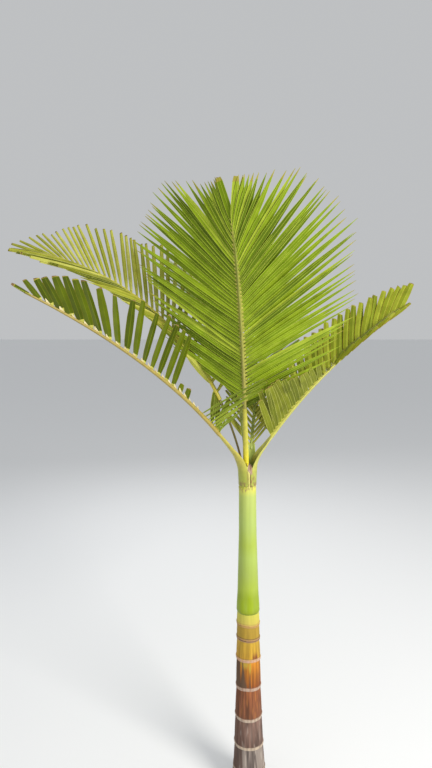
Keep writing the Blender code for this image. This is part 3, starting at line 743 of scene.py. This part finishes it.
def trunk_values(around, height, level, scar, groove):
    """How much of each scar, groove, stain and painted shade shows, from 0 to 1.

    A stain, and the painted shade on the trunk's left side away from the key light, is a
    product of soft steps along the angle in degrees and along the level, with edges made
    ragged by cosine ripples. None of them shows on a scar.
    """
    facing = np.degrees(around)
    bare = 1.0 - np.clip(scar, 0.0, 1.0)
    ragged = ripples(around, height, 13, 18, (6, 26), 60.0)
    dapple = ripples(around, height, 16, 30, (6, 30), 120.0)
    red_low, orange_low, orange_high = RING_HEIGHTS[3:6]
    down = orange_high - height
    orange = between(orange_low, orange_high, 0.006, level)
    red = between(red_low, orange_low, 0.008, level)
    grey = ease(240.0, 214.0, facing + 16.0 * ragged - 420.0 * down) * ease(100.0, 130.0, facing) * orange
    # Painted shade on the trunk's left side, away from the key light, below the orange internode
    shady = ease(262.0, 208.0, facing + 12.0 * ragged) * ease(80.0, 120.0, facing)
    shady = shady * ease(orange_low, orange_low - 0.01, level)
    yellow = ease(0.035, 0.012, down + 0.01 * ragged) * ease(285.0, 262.0, facing + 10.0 * ragged) * orange
    brown = ease(22.0, 8.0, np.abs(facing - 305.0) + 9.0 * ragged)
    brown = brown * ease(0.036, 0.008, -down + 0.006 * ragged) * ease(0.003, 0.008, -down)
    drips = ease(0.1, 0.9, ripples(around, height, 14, 20, (14, 34), 14.0))
    drips = drips * ease(0.01, 0.085, down) * orange
    flecks = ease(0.45, 1.5, ripples(around, height, 15, 16, (2, 9), 26.0)) * ease(0.275, 0.17, height)
    bleached = ease(280.0, 304.0, facing + 14.0 * ragged) * ease(352.0, 330.0, facing)
    bleached = bleached * ease(0.185, 0.165, level)
    spots = ease(0.7, 1.6, dapple) * ease(0.3, 0.22, height)
    stains = {
        "grey_stain": grey,
        "painted_shade": 0.65 * shady,
        "brown_stain": brown + 0.6 * drips,
        "yellow_stain": 0.9 * yellow,
        "orange_stain": 0.55 * ease(0.3, 1.1, dapple) * red,
        "pale_stain": 0.65 * flecks + 0.6 * bleached + 0.5 * spots,
    }
    values = {
        "scar": np.clip(scar, 0.0, 1.0) * np.clip(0.86 + 0.2 * ragged, 0.35, 1.0),
        "groove": np.clip(groove, 0.0, 1.0),
        **{name: np.clip(stain * bare, 0.0, 1.0) for name, stain in stains.items()},
        "worn": 0.25 + 0.75 * ease(0.6, 0.42, height) + 0.0 * around,
    }
    # Pale stains fade out where the shade is painted
    values["pale_stain"] *= 1.0 - 0.8 * shady
    return values


def shaft_radius(height):
    """Radius of the crownshaft at a height above its foot."""
    return np.interp(height, SHAFT_HEIGHTS, SHAFT_RADII)


def shaft_grid(settings):
    """The crownshaft's skin as a function of the angle around and the way up it.

    The radius follows the sheath's own line, steps in at the ragged edge of the outer
    sheath, and turns over the rim into a shallow hollow between the stalks. A few broad
    and many fine ripples run up it.
    """
    rows, columns = SHAFT_GRID
    around = np.linspace(0.0, 2.0 * math.pi, columns, endpoint=False)[None, :]
    rim = SHAFT_TOP - 0.004 + 0.0035 * np.sin(2.0 * around + 0.6)
    rim = rim + 0.0012 * ripples(around, 0.0, 21, 6, (3, 9), 0.0)
    rim = rim + 0.028 * bell(np.degrees(around) - 280.0, 30.0, 4)
    height = SHAFT_FOOT + np.linspace(0.0, 1.0, rows)[:, None] * (rim - SHAFT_FOOT)
    edge = settings.edge_height + 0.01 * np.sin(around + 0.9)
    edge = edge + 0.0035 * ripples(around, 0.0, 22, 14, (3, 24), 0.0)
    above = ease(-0.0006, 0.001, height - edge)
    broad = ripples(around, height, 23, 6, (2, 5), 2.5)
    fine = ripples(around, height, 24, 18, (18, 44), 3.0)
    radius = shaft_radius(height - SHAFT_FOOT) - settings.sheath_thickness * above
    radius = radius + 0.00035 * broad + 0.0001 * fine
    radius = radius + 0.0006 * bell(height - edge + 0.002, 0.003) * (1.0 - above)
    radius = radius - 0.0011 * bell(height - SHAFT_FOOT, 0.0016)
    turn = np.linspace(0.0, 1.0, HOLLOW_ROWS + 1)[1:, None]
    inward = radius[-1:] - 0.0018 - (radius[-1:] - 0.003) * ease(0.25, 1.0, turn)
    cup = turned(inward, around, rim - 0.016 * ease(0.0, 0.6, turn))
    points = np.concatenate([turned(radius, around, height), cup], 0)
    facing = np.degrees(around) + 0.0 * height
    ragged = ripples(around, height, 25, 16, (5, 22), 70.0)
    strip = ease(279.0, 286.0, facing + 3.0 * ragged) * ease(312.0, 298.0, facing + 5.0 * ragged)
    pale = ease(262.0, 268.0, facing) * ease(288.0, 280.0, facing)
    rim_band = bell(height - edge + 0.0035 + 0.0015 * ragged, 0.0042) * (1.0 - above)
    torn = 0.55 + 0.35 * ragged
    on_skin = {
        "inner": above,
        "dry_strip": np.clip(strip * torn * above, 0.0, 0.85),
        "pale_strip": pale * above,
        "rim": np.clip(rim_band * torn, 0.0, 0.9),
        "hollow": np.zeros_like(above),
    }
    # Painted shade fills the cup between the stalks
    in_cup = {"hollow": ease(0.05, 0.3, turn)}
    blank = np.zeros_like(cup[..., 0])
    values = {name: np.concatenate([shown, in_cup.get(name, 0.0) + blank], 0)
              for name, shown in on_skin.items()}
    return lean(points), values


# Fronds

class Arc:
    """A frond's midline: its rise falls with a power of the share along it.

    Equal steps along that slope are summed from the stalk's foot, so every point, tangent
    and side direction is read from the running sum at a share of the length.
    """

    def __init__(self, frond):
        self.frond = {**FROND_DEFAULTS, **frond}
        self.length = frond["length"]
        self.bare = frond["bare"]
        self.share = np.linspace(0.0, 1.0, ARC_STEPS + 1)
        azimuth = math.radians(frond["azimuth"])
        self.outward = np.array((math.cos(azimuth), math.sin(azimuth), 0.0))
        self.upward = np.array((0.0, 0.0, 1.0))
        self.left = np.cross(self.upward, self.outward)
        middles = 0.5 * (self.share[1:] + self.share[:-1])
        steps = self.slope(middles) * (self.length / ARC_STEPS)
        seat_x, seat_y = frond["seat"]
        self.seat = np.array((LEAN * SHAFT_TOP + seat_x, seat_y, SHAFT_TOP + SEAT_GAP))
        start = self.seat + ARC_FOOT * self.upward
        self.points = np.vstack([start, start + np.cumsum(steps, axis=0)])

    def slope(self, share):
        """Direction of the midline at each share."""
        frond = self.frond
        rise = np.radians(frond["rise"] - frond["droop"] * share ** frond["power"])
        return np.cos(rise)[:, None] * self.outward + np.sin(rise)[:, None] * self.upward

    def point(self, share):
        """Point of the midline at each share."""
        columns = [np.interp(share, self.share, self.points[:, axis]) for axis in range(3)]
        return np.stack(columns, -1)

    def radius(self, share):
        """Half the thickness of the stalk or rib at each share."""
        swell = np.minimum(share / (0.3 * self.bare), 1.0)
        foot = STALK_FOOT_RADIUS + (STALK_SWELL_RADIUS - STALK_FOOT_RADIUS) * swell
        stalk = foot + (STALK_END_RADIUS - foot) * share / self.bare
        leafy = (share - self.bare) / (1.0 - self.bare)
        rib = STALK_END_RADIUS + (RIB_END_RADIUS - STALK_END_RADIUS) * leafy
        return np.where(share < self.bare, stalk, rib)


def crescent(half_width, bend, thickness, corners=26):
    """Cross sections of a channelled stalk, one for each width: (section, corner, 2).

    The middle line is the arc of a circle of that half width and bend. The outer and
    inner lines lie half the thickness from it, falling off to the margins as the root
    of one less the square of the way across. Numbers are (across, up) in metres.
    """
    half_width = np.asarray(half_width)[:, None]
    bend = np.maximum(np.asarray(bend)[:, None], 1e-5)
    thickness = np.asarray(thickness)[:, None]
    half_angle = 2.0 * np.arctan(bend / half_width)
    circle = half_width / np.sin(half_angle)
    turn = np.linspace(0.0, 2.0 * math.pi, corners, endpoint=False)[None, :]
    across = np.cos(turn)
    side = np.where(np.sin(turn) >= 0.0, 1.0, -1.0)
    half = 0.5 * thickness * np.sqrt(np.clip(1.0 - across ** 2, 0.0, 1.0)) * side
    angle = across * half_angle
    return np.stack([(circle - half) * np.sin(angle), circle - (circle - half) * np.cos(angle)], -1)


def carried(centres, left, up, section):
    """A section carried along a path: centre plus across times left plus height times up."""
    return centres[:, None, :] + section[..., 0:1] * left[:, None, :] + section[..., 1:2] * up[:, None, :]


def stalk_grid(arc):
    """A stalk from its foot to its first leaflet: its points, and the share of the way along it."""
    return plain_stalk(arc) if arc.frond["clasp"] is None else clasping_stalk(arc)


def plain_stalk(arc):
    """A stalk that starts inside the crownshaft's hollow and follows the arc at once.

    Its radius is the arc's own, times a share that grows from its slimness at the foot
    to 1 with the cube of the way along.
    """
    slim = arc.frond["slim"]
    shares = np.linspace(0.0, arc.bare, 22)
    centres = np.vstack([arc.seat - PLAIN_SINK * arc.upward, arc.seat, arc.point(shares)])
    ups = np.vstack([-arc.outward, -arc.outward, np.cross(arc.slope(shares), arc.left)])
    radius = np.concatenate([[PLAIN_FOOT_RADIUS] * 2, arc.radius(shares)])
    radius = radius * (slim + (1.0 - slim) * np.concatenate([[0.0, 0.0], shares / arc.bare]) ** 3)
    width = radius * 1.12
    section = crescent(width, width * 0.34, radius * 1.75)
    centres = centres - 0.3 * radius[:, None] * ups
    left = np.repeat(arc.left[None, :], len(centres), 0)
    return carried(centres, left, ups, section), np.linspace(0.0, 1.0, len(centres))


def clasping_stalk(arc):
    """A stalk that starts as a thin shell on the crownshaft.

    It spans its clasp, narrows as it rises and leaves the crownshaft on a cubic between
    its skin and the arc. The shell is turned towards the side that it clasps further.
    """
    clasp = arc.frond["clasp"]
    foot_z = SHAFT_TOP - np.linspace(CLASP_LOW, CLASP_LEAVE, 12)
    foot_r = shaft_radius(foot_z - SHAFT_FOOT) + CLASP_GAP
    foot = np.stack([LEAN * foot_z, 0.0 * foot_z, foot_z], -1) + foot_r[:, None] * arc.outward
    land = np.array([CLASP_LAND])
    end, end_slope = arc.point(land)[0], arc.slope(land)[0]
    reach = np.linalg.norm(end - foot[-1])
    t = np.linspace(0.0, 1.0, 16)[1:, None]
    start_pull = (2 * t ** 3 - 3 * t ** 2 + 1) * foot[-1] + (t ** 3 - 2 * t ** 2 + t) * reach * arc.upward
    end_pull = (3 * t ** 2 - 2 * t ** 3) * end + (t ** 3 - t ** 2) * reach * end_slope
    shares = np.linspace(CLASP_LAND, arc.bare, 14)[1:]
    centres = np.vstack([foot, start_pull + end_pull, arc.point(shares)])
    ups = unit(np.cross(unit(np.gradient(centres, axis=0)), arc.left))
    gone = np.concatenate([[0.0], np.cumsum(np.linalg.norm(np.diff(centres, axis=0), axis=1))])
    wide = math.radians(0.5 * sum(clasp))
    span, bulge = CLASP_RADIUS * math.sin(wide), CLASP_RADIUS * (1 - math.cos(wide))
    free = CLASP_LOW - CLASP_LEAVE
    keys = (0.0, free, free + 0.04, free + 0.095, gone[-1])
    widths = (span, span, 0.0205, 0.0118, STALK_END_RADIUS * arc.frond["stout"])
    bends = (bulge, bulge, 0.014, 0.0056, 0.0022)
    depths = (0.0016, 0.0026, 0.006, 0.0088, 2.0 * STALK_END_RADIUS * 0.88)
    section = crescent(*(np.interp(gone, keys, sizes) for sizes in (widths, bends, depths)))
    turn = math.radians(0.5 * (clasp[0] - clasp[1])) * (1.0 - ease(keys[1], keys[3], gone))
    left = np.cos(turn)[:, None] * arc.left + np.sin(turn)[:, None] * ups
    up = np.cos(turn)[:, None] * ups - np.sin(turn)[:, None] * arc.left
    swing = foot_r[0] * (1.0 - ease(keys[1], keys[2], gone))[:, None]
    return carried(centres + swing * (ups - up), left, up, section), gone / gone[-1]


def rib_grid(arc):
    """The leafy length of a frond's rib: a keeled section that tapers to the tip."""
    shares = np.linspace(arc.bare - 0.004, 1.0, 64)
    radius = arc.radius(shares)
    stout = arc.frond["stout"]
    section = crescent(radius * stout, radius * 0.16, radius * 1.7 * stout, 18)
    left = np.repeat(arc.left[None, :], len(shares), 0)
    ups = np.cross(arc.slope(shares), arc.left)
    return carried(arc.point(shares), left, ups, section), np.linspace(0.0, 1.0, len(shares))


def trimmed_reach(row, share, generator):
    """Reach of each leaflet of a row, with the trims' own reach where a trim runs."""
    reach = spread(row["reach"], share) * (1.0 + generator.normal(0.0, 0.015, len(share)))
    for start, end, first, last in row["trims"]:
        cut = first + (last - first) * (share - start) / (end - start)
        cut = cut * generator.uniform(0.8, 1.2, len(share))
        reach = np.where((share >= start) & (share < end), cut, reach)
    return reach


def leaflet_section(half, settings):
    """Across and up offsets of the twelve corners round a leaflet, for each half width.

    Its upper and lower sides are a low roof folded at the midrib. They lie half the
    thickness from its middle, rise to a crest at the midrib and meet at both margins.
    """
    rib = np.minimum(settings.midrib_half_width, 0.3 * half)
    rim = half - np.minimum(settings.margin_width, 0.25 * half)
    thick = 0.5 * np.minimum(settings.leaflet_thickness, 0.35 * half)
    crest = thick + 0.5 * rib
    drop = math.tan(settings.fold)
    low = -drop * rim
    zero = np.zeros_like(half)
    sideways = np.stack([-half, -rim, -rib, zero, rib, rim, half, rim, rib, zero, -rib, -rim], -1)
    upways = np.stack([-drop * half, low + thick, thick, crest, thick, low + thick,
                       -drop * half, low - thick, -thick, -crest, -thick, low - thick], -1)
    return sideways, upways


def row_grid(arc, side, key, settings, generator):
    """Every leaflet of one row: (points by leaflet, section and corner), UV, share, reach, lift.

    A leaflet leaves the rib at its sweep from the rib's line and its lift from the
    frond's plane, and sags with the square of the way along it. Its section is as wide
    as its outline says, and turned about the leaflet's line by a twist that grows a
    little along it.
    """
    frond = arc.frond
    row = {**ROW_DEFAULTS, **frond[key]}
    count, start = row["count"], row["start"]
    step = np.arange(count) + FIRST_SHARE[key] + generator.uniform(-0.06, 0.06, count)
    share = start + (1.0 - start) * np.clip(step / count, 0.0, LAST_SHARE) ** row["crowd"]
    place = arc.bare + (1.0 - arc.bare) * share
    reach = trimmed_reach(row, share, generator)
    stub = reach < STUB_REACH
    sweep = np.where(stub, STUB_SWEEP, spread(row["sweep"], share))
    lift = np.where(stub, STUB_LIFT, spread(row["lift"], share))
    sweep = np.radians(sweep + generator.normal(0.0, 1.0, count))
    lift = np.radians(lift + generator.normal(0.0, 1.5, count))
    tangent = arc.slope(place)
    upper = np.cross(tangent, arc.left)
    across = np.cos(lift)[:, None] * side * arc.left + np.sin(lift)[:, None] * upper
    along = np.cos(sweep)[:, None] * tangent + np.sin(sweep)[:, None] * across
    face = unit(np.cross(tangent, along)) * side
    wide = np.cross(along, face) * side

    browned = frond["browned"] * generator.choice(BROWNED_TIMES, count, p=BROWNED_SHARES)
    browned = np.minimum(browned, 0.2 * reach)
    faded = np.minimum(frond["faded"] * generator.uniform(0.1, 1.9, count), 0.12 * reach)
    ways = np.tile(np.array(LEAFLET_WAYS), (count, 1))
    ways[:, 1] = np.minimum(BASE_LENGTH / reach, 0.12)
    ways[:, 5] = 1.0 - (browned + faded) / reach
    ways[:, 6] = 1.0 - browned / reach
    cut = share >= row.get("blunt", frond["blunt"])
    pointed, blunt = (np.interp(ways, shape[:, 0], shape[:, 1]) for shape in (POINTED, BLUNT))
    outline = np.where(cut[:, None], blunt, pointed)
    half = 0.5 * spread(row["width"], share) * generator.uniform(0.94, 1.06, count)
    half = half * np.clip(reach / FULL_REACH, 0.5, 1.0)
    half = np.where(stub, STUB_HALF_WIDTH * generator.uniform(0.7, 1.3, count), half)
    half = half[:, None] * np.where(stub[:, None], 1.0 - 0.8 * ways, outline)

    radius = arc.radius(place)
    root = arc.point(place) + (0.35 * radius)[:, None] * upper - (0.3 * radius)[:, None] * along
    sag = row["sag"] + generator.normal(0.0, 0.006, count)
    curl = generator.normal(0.0, 0.008, count)
    far = ways * reach[:, None]
    centre = root[:, None] + along[:, None] * far[..., None]
    centre = centre - arc.upward * ((sag * reach)[:, None] * ways ** 2)[..., None]
    centre = centre + face[:, None] * ((curl * reach)[:, None] * ways ** 2)[..., None]
    turn = np.radians(spread(row["twist"], share) + generator.normal(0.0, 4.0, count))[:, None]
    turn = turn + np.radians(generator.normal(3.0, 6.0, count))[:, None] * ways
    broad = np.cos(turn)[..., None] * wide[:, None] - np.sin(turn)[..., None] * face[:, None]
    over = np.cos(turn)[..., None] * face[:, None] + np.sin(turn)[..., None] * wide[:, None]

    sideways, upways = leaflet_section(half, settings)
    points = centre[:, :, None] + sideways[..., None] * broad[:, :, None]
    points = points + upways[..., None] * over[:, :, None]
    slant = generator.uniform(-0.4, 0.4, count) * cut
    points[:, -1] += (slant[:, None] * sideways[:, -1])[..., None] * along[:, None]
    across_uv = np.broadcast_to(np.array(SECTION_ACROSS), sideways.shape)
    along_uv = np.broadcast_to(far[..., None], sideways.shape)
    return points, np.stack([across_uv, along_uv], -1), share, reach, lift


def row_faces(points, stub, tones, side, first):
    """Faces of a row's leaflets and the kind of finish of each face.

    A leaflet has twelve quads between neighbouring sections and a face at each end. It
    has a tone of its own, with the midrib and margin of its set, and its base, faded
    length and browned end have finishes that all leaflets share.
    """
    count, sections, corners = points.shape[:3]
    leaflet = np.arange(count)[:, None, None] * sections * corners
    section = np.arange(sections - 1)[None, :, None] * corners
    corner = np.arange(corners)[None, None, :]
    after = (corner + 1) % corners
    base = first + leaflet + section
    quads = np.stack([base + corner, base + after, base + corners + after, base + corners + corner], -1)
    ends = np.arange(corners)
    start = first + leaflet[:, 0] + ends[::-1]
    finish = first + leaflet[:, 0] + (sections - 1) * corners + ends
    if side < 0:
        quads = quads[..., ::-1]
        start = start[:, ::-1]
        finish = finish[:, ::-1]
    sets, tone = tones
    kinds = np.broadcast_to((sets + tone)[:, None, None], quads.shape[:3]).copy()
    kinds[:, :, (2, 3, 8, 9)] = (sets + MIDRIB_TONE)[:, None, None]
    kinds[:, :, (0, 5, 6, 11)] = (sets + MARGIN_TONE)[:, None, None]
    kinds[:, 0] = BASE
    kinds[:, -2] = FADED
    kinds[:, -1] = BROWNED
    kinds[stub] = TORN
    start_kind = np.where(stub, TORN, BASE)
    finish_kind = np.where(stub, TORN, BROWNED)
    faces = quads.reshape(-1, 4).tolist() + start.tolist() + finish.tolist()
    return faces, np.concatenate([kinds.ravel(), start_kind, finish_kind])


def dealt_tones(row, share, lift, first, generator):
    """For each leaflet, where its set of tones starts among the materials, and its tone in it.

    The row's sets follow each other in equal lengths along it. The tone is drawn by the
    shares of the tones, or is the darkest, as painted shade, where the leaflet hangs.
    """
    order = list(LEAF_TONES)
    names = np.array([order.index(name) for name in row["tones"]])
    step = np.minimum((share * len(names)).astype(int), len(names) - 1)
    tone = generator.choice(len(TONE_SHARES), size=len(share), p=TONE_SHARES)
    tone = np.where(lift < math.radians(HANGING_LIFT), 0, tone)
    return first + len(LEAF_TONES["fresh"]) * names[step], tone


def flap_grid(foot, tip, sideways, outward, half_width, curl, seed):
    """A papery strip from its foot to its tip: a thin closed sheet with ragged sides.

    Its middle runs straight from foot to tip and leans outwards with the square of the
    way. Its half width narrows to nothing with small ripples.
    """
    rows, across = 20, 7
    way = np.linspace(0.0, 1.0, rows)[:, None]
    generator = np.random.default_rng(seed)
    ragged = 1.0 + 0.22 * np.cos(23.0 * way + generator.uniform(0.0, 6.0)) * way
    ragged = ragged + 0.12 * np.cos(57.0 * way + generator.uniform(0.0, 6.0)) * way
    half = half_width * (1.0 - way ** 1.6) * ragged + 0.0004
    place = np.linspace(-1.0, 1.0, across)[None, :]
    crumple = 0.001 * np.cos(5.0 * place + 9.0 * way + generator.uniform(0.0, 6.0)) * way
    middle = foot + (tip - foot) * way[..., None] + outward * (curl * way ** 2)[..., None]
    sheet = middle + sideways * (half * place)[..., None]
    sheet = sheet + outward * (crumple - 0.25 * half * place ** 2)[..., None]
    return np.concatenate([sheet, sheet[:, ::-1] - outward * FLAP_THICKNESS], 1)


# Operators

class PALM_OT_trunk(bpy.types.Operator):
    """Build the ringed trunk with its leaf scars, stains and fibres"""

    bl_idname = "palm.trunk"
    bl_label = "Trunk"

    def execute(self, context):
        points, values = trunk_grid(context.scene.palm_trunk)
        faces = tube_faces(*points.shape[:2])
        add_piece("ringed_trunk", points, faces, [bark_material()], ("trunk",), values=values)
        return {"FINISHED"}


class PALM_OT_crownshaft(bpy.types.Operator):
    """Build the smooth crownshaft, its ragged outer edge and the hollow between the stalks"""

    bl_idname = "palm.crownshaft"
    bl_label = "Crownshaft"

    def execute(self, context):
        settings = context.scene.palm_shaft
        points, values = shaft_grid(settings)
        faces = tube_faces(*points.shape[:2])
        material = sheath_material(settings)
        add_piece("green_crownshaft", points, faces, [material], ("crownshaft",), values=values)
        return {"FINISHED"}


class PALM_OT_stalks(bpy.types.Operator):
    """Build the six leaf stalks, the older ones clasping the crownshaft"""

    bl_idname = "palm.stalks"
    bl_label = "Leaf stalks"

    def execute(self, context):
        for name, frond in FRONDS.items():
            arc = Arc(frond)
            points, along = stalk_grid(arc)
            rows, corners = points.shape[:2]
            along = along[:, None]
            shell = 1.0 - ease(0.16, 0.3, along) if arc.frond["clasp"] else 0.0
            across = np.abs(np.cos(np.linspace(0.0, 2.0 * math.pi, corners, endpoint=False)))[None, :]
            edge = ease(1.0 - arc.frond["dry"], 1.0, across)
            foot = 1.0 - ease(0.02, 0.13, along)
            values = {"along": np.broadcast_to(ease(0.1, 0.5, along), (rows, corners)),
                      "margin": shell * np.maximum(0.85 * edge, 0.75 * foot)}
            material = stalk_material("stalk_" + name, *frond["colours"][:2])
            add_piece("petiole_" + name, points, tube_faces(rows, corners), [material],
                      ("stalk_" + name,), values=values, crease=60.0)
        return {"FINISHED"}


class PALM_OT_fronds(bpy.types.Operator):
    """Build each frond's rib and both its rows of leaflets"""

    bl_idname = "palm.fronds"
    bl_label = "Fronds"

    def execute(self, context):
        settings = context.scene.palm_fronds
        browned = tuple(settings.browned_colour)
        finishes = [
            leaf_material("leaflet_base", tuple(settings.base_colour)),
            leaf_material("leaflet_faded", (0.35, 0.32, 0.045), 0.6),
            dry_material("leaflet_browned", browned, (0.24, 0.15, 0.06), (60.0,) * 3),
            dry_material("leaflet_torn", (0.64, 0.54, 0.27), (0.8, 0.73, 0.47), (200.0,) * 3),
        ]
        first_tone = len(finishes)
        for kind, colours in LEAF_TONES.items():
            for number, colour in enumerate(colours):
                finishes.append(leaf_material(f"leaflet_{kind}_{number + 1}", colour))
        for index, (name, frond) in enumerate(FRONDS.items()):
            arc = Arc(frond)
            points, along = rib_grid(arc)
            values = {"along": np.broadcast_to(along[:, None], points.shape[:2]),
                      "margin": np.zeros(points.shape[:2])}
            rib = stalk_material("rib_" + name, *frond["colours"][2:])
            faces = tube_faces(*points.shape[:2])
            add_piece("rib_" + name, points, faces, [rib], frond["nodes"], values=values)
            generator = np.random.default_rng(settings.seed + index)
            grids, maps, faces, kinds = [], [], [], []
            first = 0
            for side, key in ((1, "left"), (-1, "right")):
                grid, uv, share, reach, lift = row_grid(arc, side, key, settings, generator)
                tones = dealt_tones(frond[key], share, lift, first_tone, generator)
                more, kind = row_faces(grid, reach < STUB_REACH, tones, side, first)
                first += grid.size // 3
                grids.append(grid.reshape(-1, 3))
                maps.append(uv.reshape(-1, 2))
                faces.extend(more)
                kinds.append(kind)
            used, kinds = np.unique(np.concatenate(kinds), return_inverse=True)
            materials = [finishes[number] for number in used]
            add_piece("leaflets_" + name, np.concatenate(grids), faces, materials,
                      frond["nodes"], kinds=kinds, uv=np.concatenate(maps), crease=50.0)
        return {"FINISHED"}


class PALM_OT_papery_flaps(bpy.types.Operator):
    """Build the dry papery flaps where the sheaths open round the upright frond's foot"""

    bl_idname = "palm.papery_flaps"
    bl_label = "Papery flaps"

    def execute(self, context):
        material = dry_material("dry_flap", (0.3, 0.18, 0.11), (0.56, 0.4, 0.29), (260.0, 260.0, 40.0))
        axis = np.array((LEAN * SHAFT_TOP, 0.0, SHAFT_TOP))
        grids, faces = [], []
        for number, (facing, radius, low, high, half_width, curl) in enumerate(FLAPS):
            angle = math.radians(facing)
            outward = np.array((math.cos(angle), math.sin(angle), 0.0))
            sideways = np.array((-math.sin(angle), math.cos(angle), 0.0))
            foot, tip = (axis + radius * outward + np.array((0.0, 0.0, level)) for level in (low, high))
            grid = flap_grid(foot, tip, sideways, outward, half_width, curl, 31 + number)
            offset = number * grid.shape[0] * grid.shape[1]
            faces.extend([[corner + offset for corner in face] for face in tube_faces(*grid.shape[:2])])
            grids.append(grid.reshape(-1, 3))
        add_piece("papery_flaps", np.concatenate(grids), faces, [material], crease=60.0)
        return {"FINISHED"}


class PALM_OT_stage(bpy.types.Operator):
    """Set up the pale floor, the soft lights and the camera"""

    bl_idname = "palm.stage"
    bl_label = "Stage"

    def execute(self, context):
        scene = context.scene
        settings = scene.palm_stage

        def placed(name, data, place=(0.0, 0.0, 0.0)):
            """A new object of the scene at its place."""
            thing = bpy.data.objects.new(name, data)
            thing.location = place
            scene.collection.objects.link(thing)
            return thing

        ground = bpy.data.meshes.new("floor")
        corners = [(x * FLOOR_REACH, y * FLOOR_REACH, 0.0) for x, y in ((-1, -1), (1, -1), (1, 1), (-1, 1))]
        ground.from_pydata(corners, [], [(0, 1, 2, 3)])
        ground.materials.append(Finish("pale_floor", tuple(settings.floor_colour), 0.9, 0.2).material)
        floor = placed("floor", ground)
        lights = (
            ("key_light", (2.3, -2.6, 3.1), 1.8, settings.key_power, (1.0, 0.965, 0.9)),
            ("fill_light", (-2.9, -2.2, 1.9), 2.6, settings.fill_power, (0.9, 0.95, 1.0)),
            ("back_light", (-0.6, 2.9, 3.2), 2.4, settings.back_power, (1.0, 1.0, 1.0)),
        )
        for name, place, width, power, colour in lights:
            light = bpy.data.lights.new(name, "AREA")
            light.shape = "DISK"
            light.size = width
            light.energy = power
            light.color = colour
            lamp = placed(name, light, place)
            lamp.rotation_euler = (LIT_POINT - Vector(place)).to_track_quat("-Z", "Y").to_euler()
        world = bpy.data.worlds.new("pale_surround")
        world.use_nodes = True
        background = world.node_tree.nodes["Background"]
        background.inputs["Color"].default_value = (0.96, 0.98, 1.0, 1.0)
        background.inputs["Strength"].default_value = settings.sky_strength
        scene.world = world
        scene.view_settings.view_transform = "Standard"
        lens = bpy.data.cameras.new("camera")
        lens.lens = settings.lens
        lens.sensor_width = 36.0
        lens.clip_end = 200.0
        camera = placed("camera", lens, CAMERA_PLACE)
        camera.rotation_euler = Euler((math.radians(90.0 - CAMERA_PITCH), 0.0, 0.0))
        scene.camera = camera
        return {"FINISHED"}


class PALM_PT_panel(bpy.types.Panel):
    """The palm's pieces and settings in the sidebar"""

    bl_idname = "PALM_PT_panel"
    bl_label = "Crownshaft palm"
    bl_space_type = "VIEW_3D"
    bl_region_type = "UI"
    bl_category = "Palm"

    def draw(self, context):
        for operator in OPERATORS:
            self.layout.operator(operator.bl_idname)
        for key, group in SETTINGS:
            box = self.layout.box()
            for name in group.__annotations__:
                box.prop(getattr(context.scene, key), name)


OPERATORS = (PALM_OT_trunk, PALM_OT_crownshaft, PALM_OT_stalks, PALM_OT_fronds,
             PALM_OT_papery_flaps, PALM_OT_stage)
SETTINGS = (("palm_trunk", PalmTrunkSettings), ("palm_shaft", PalmShaftSettings),
            ("palm_fronds", PalmFrondSettings), ("palm_stage", PalmStageSettings))


def register():
    for key, group in SETTINGS:
        bpy.utils.register_class(group)
        setattr(bpy.types.Scene, key, PointerProperty(type=group))
    for one in (*OPERATORS, PALM_PT_panel):
        bpy.utils.register_class(one)


def unregister():
    for one in (PALM_PT_panel, *OPERATORS[::-1]):
        bpy.utils.unregister_class(one)
    for key, group in SETTINGS[::-1]:
        delattr(bpy.types.Scene, key)
        bpy.utils.unregister_class(group)


def build_palm():
    register()
    bpy.ops.palm.trunk()
    bpy.ops.palm.crownshaft()
    bpy.ops.palm.stalks()
    bpy.ops.palm.fronds()
    bpy.ops.palm.papery_flaps()
    bpy.ops.palm.stage()


if __name__ == "__main__":
    build_palm()
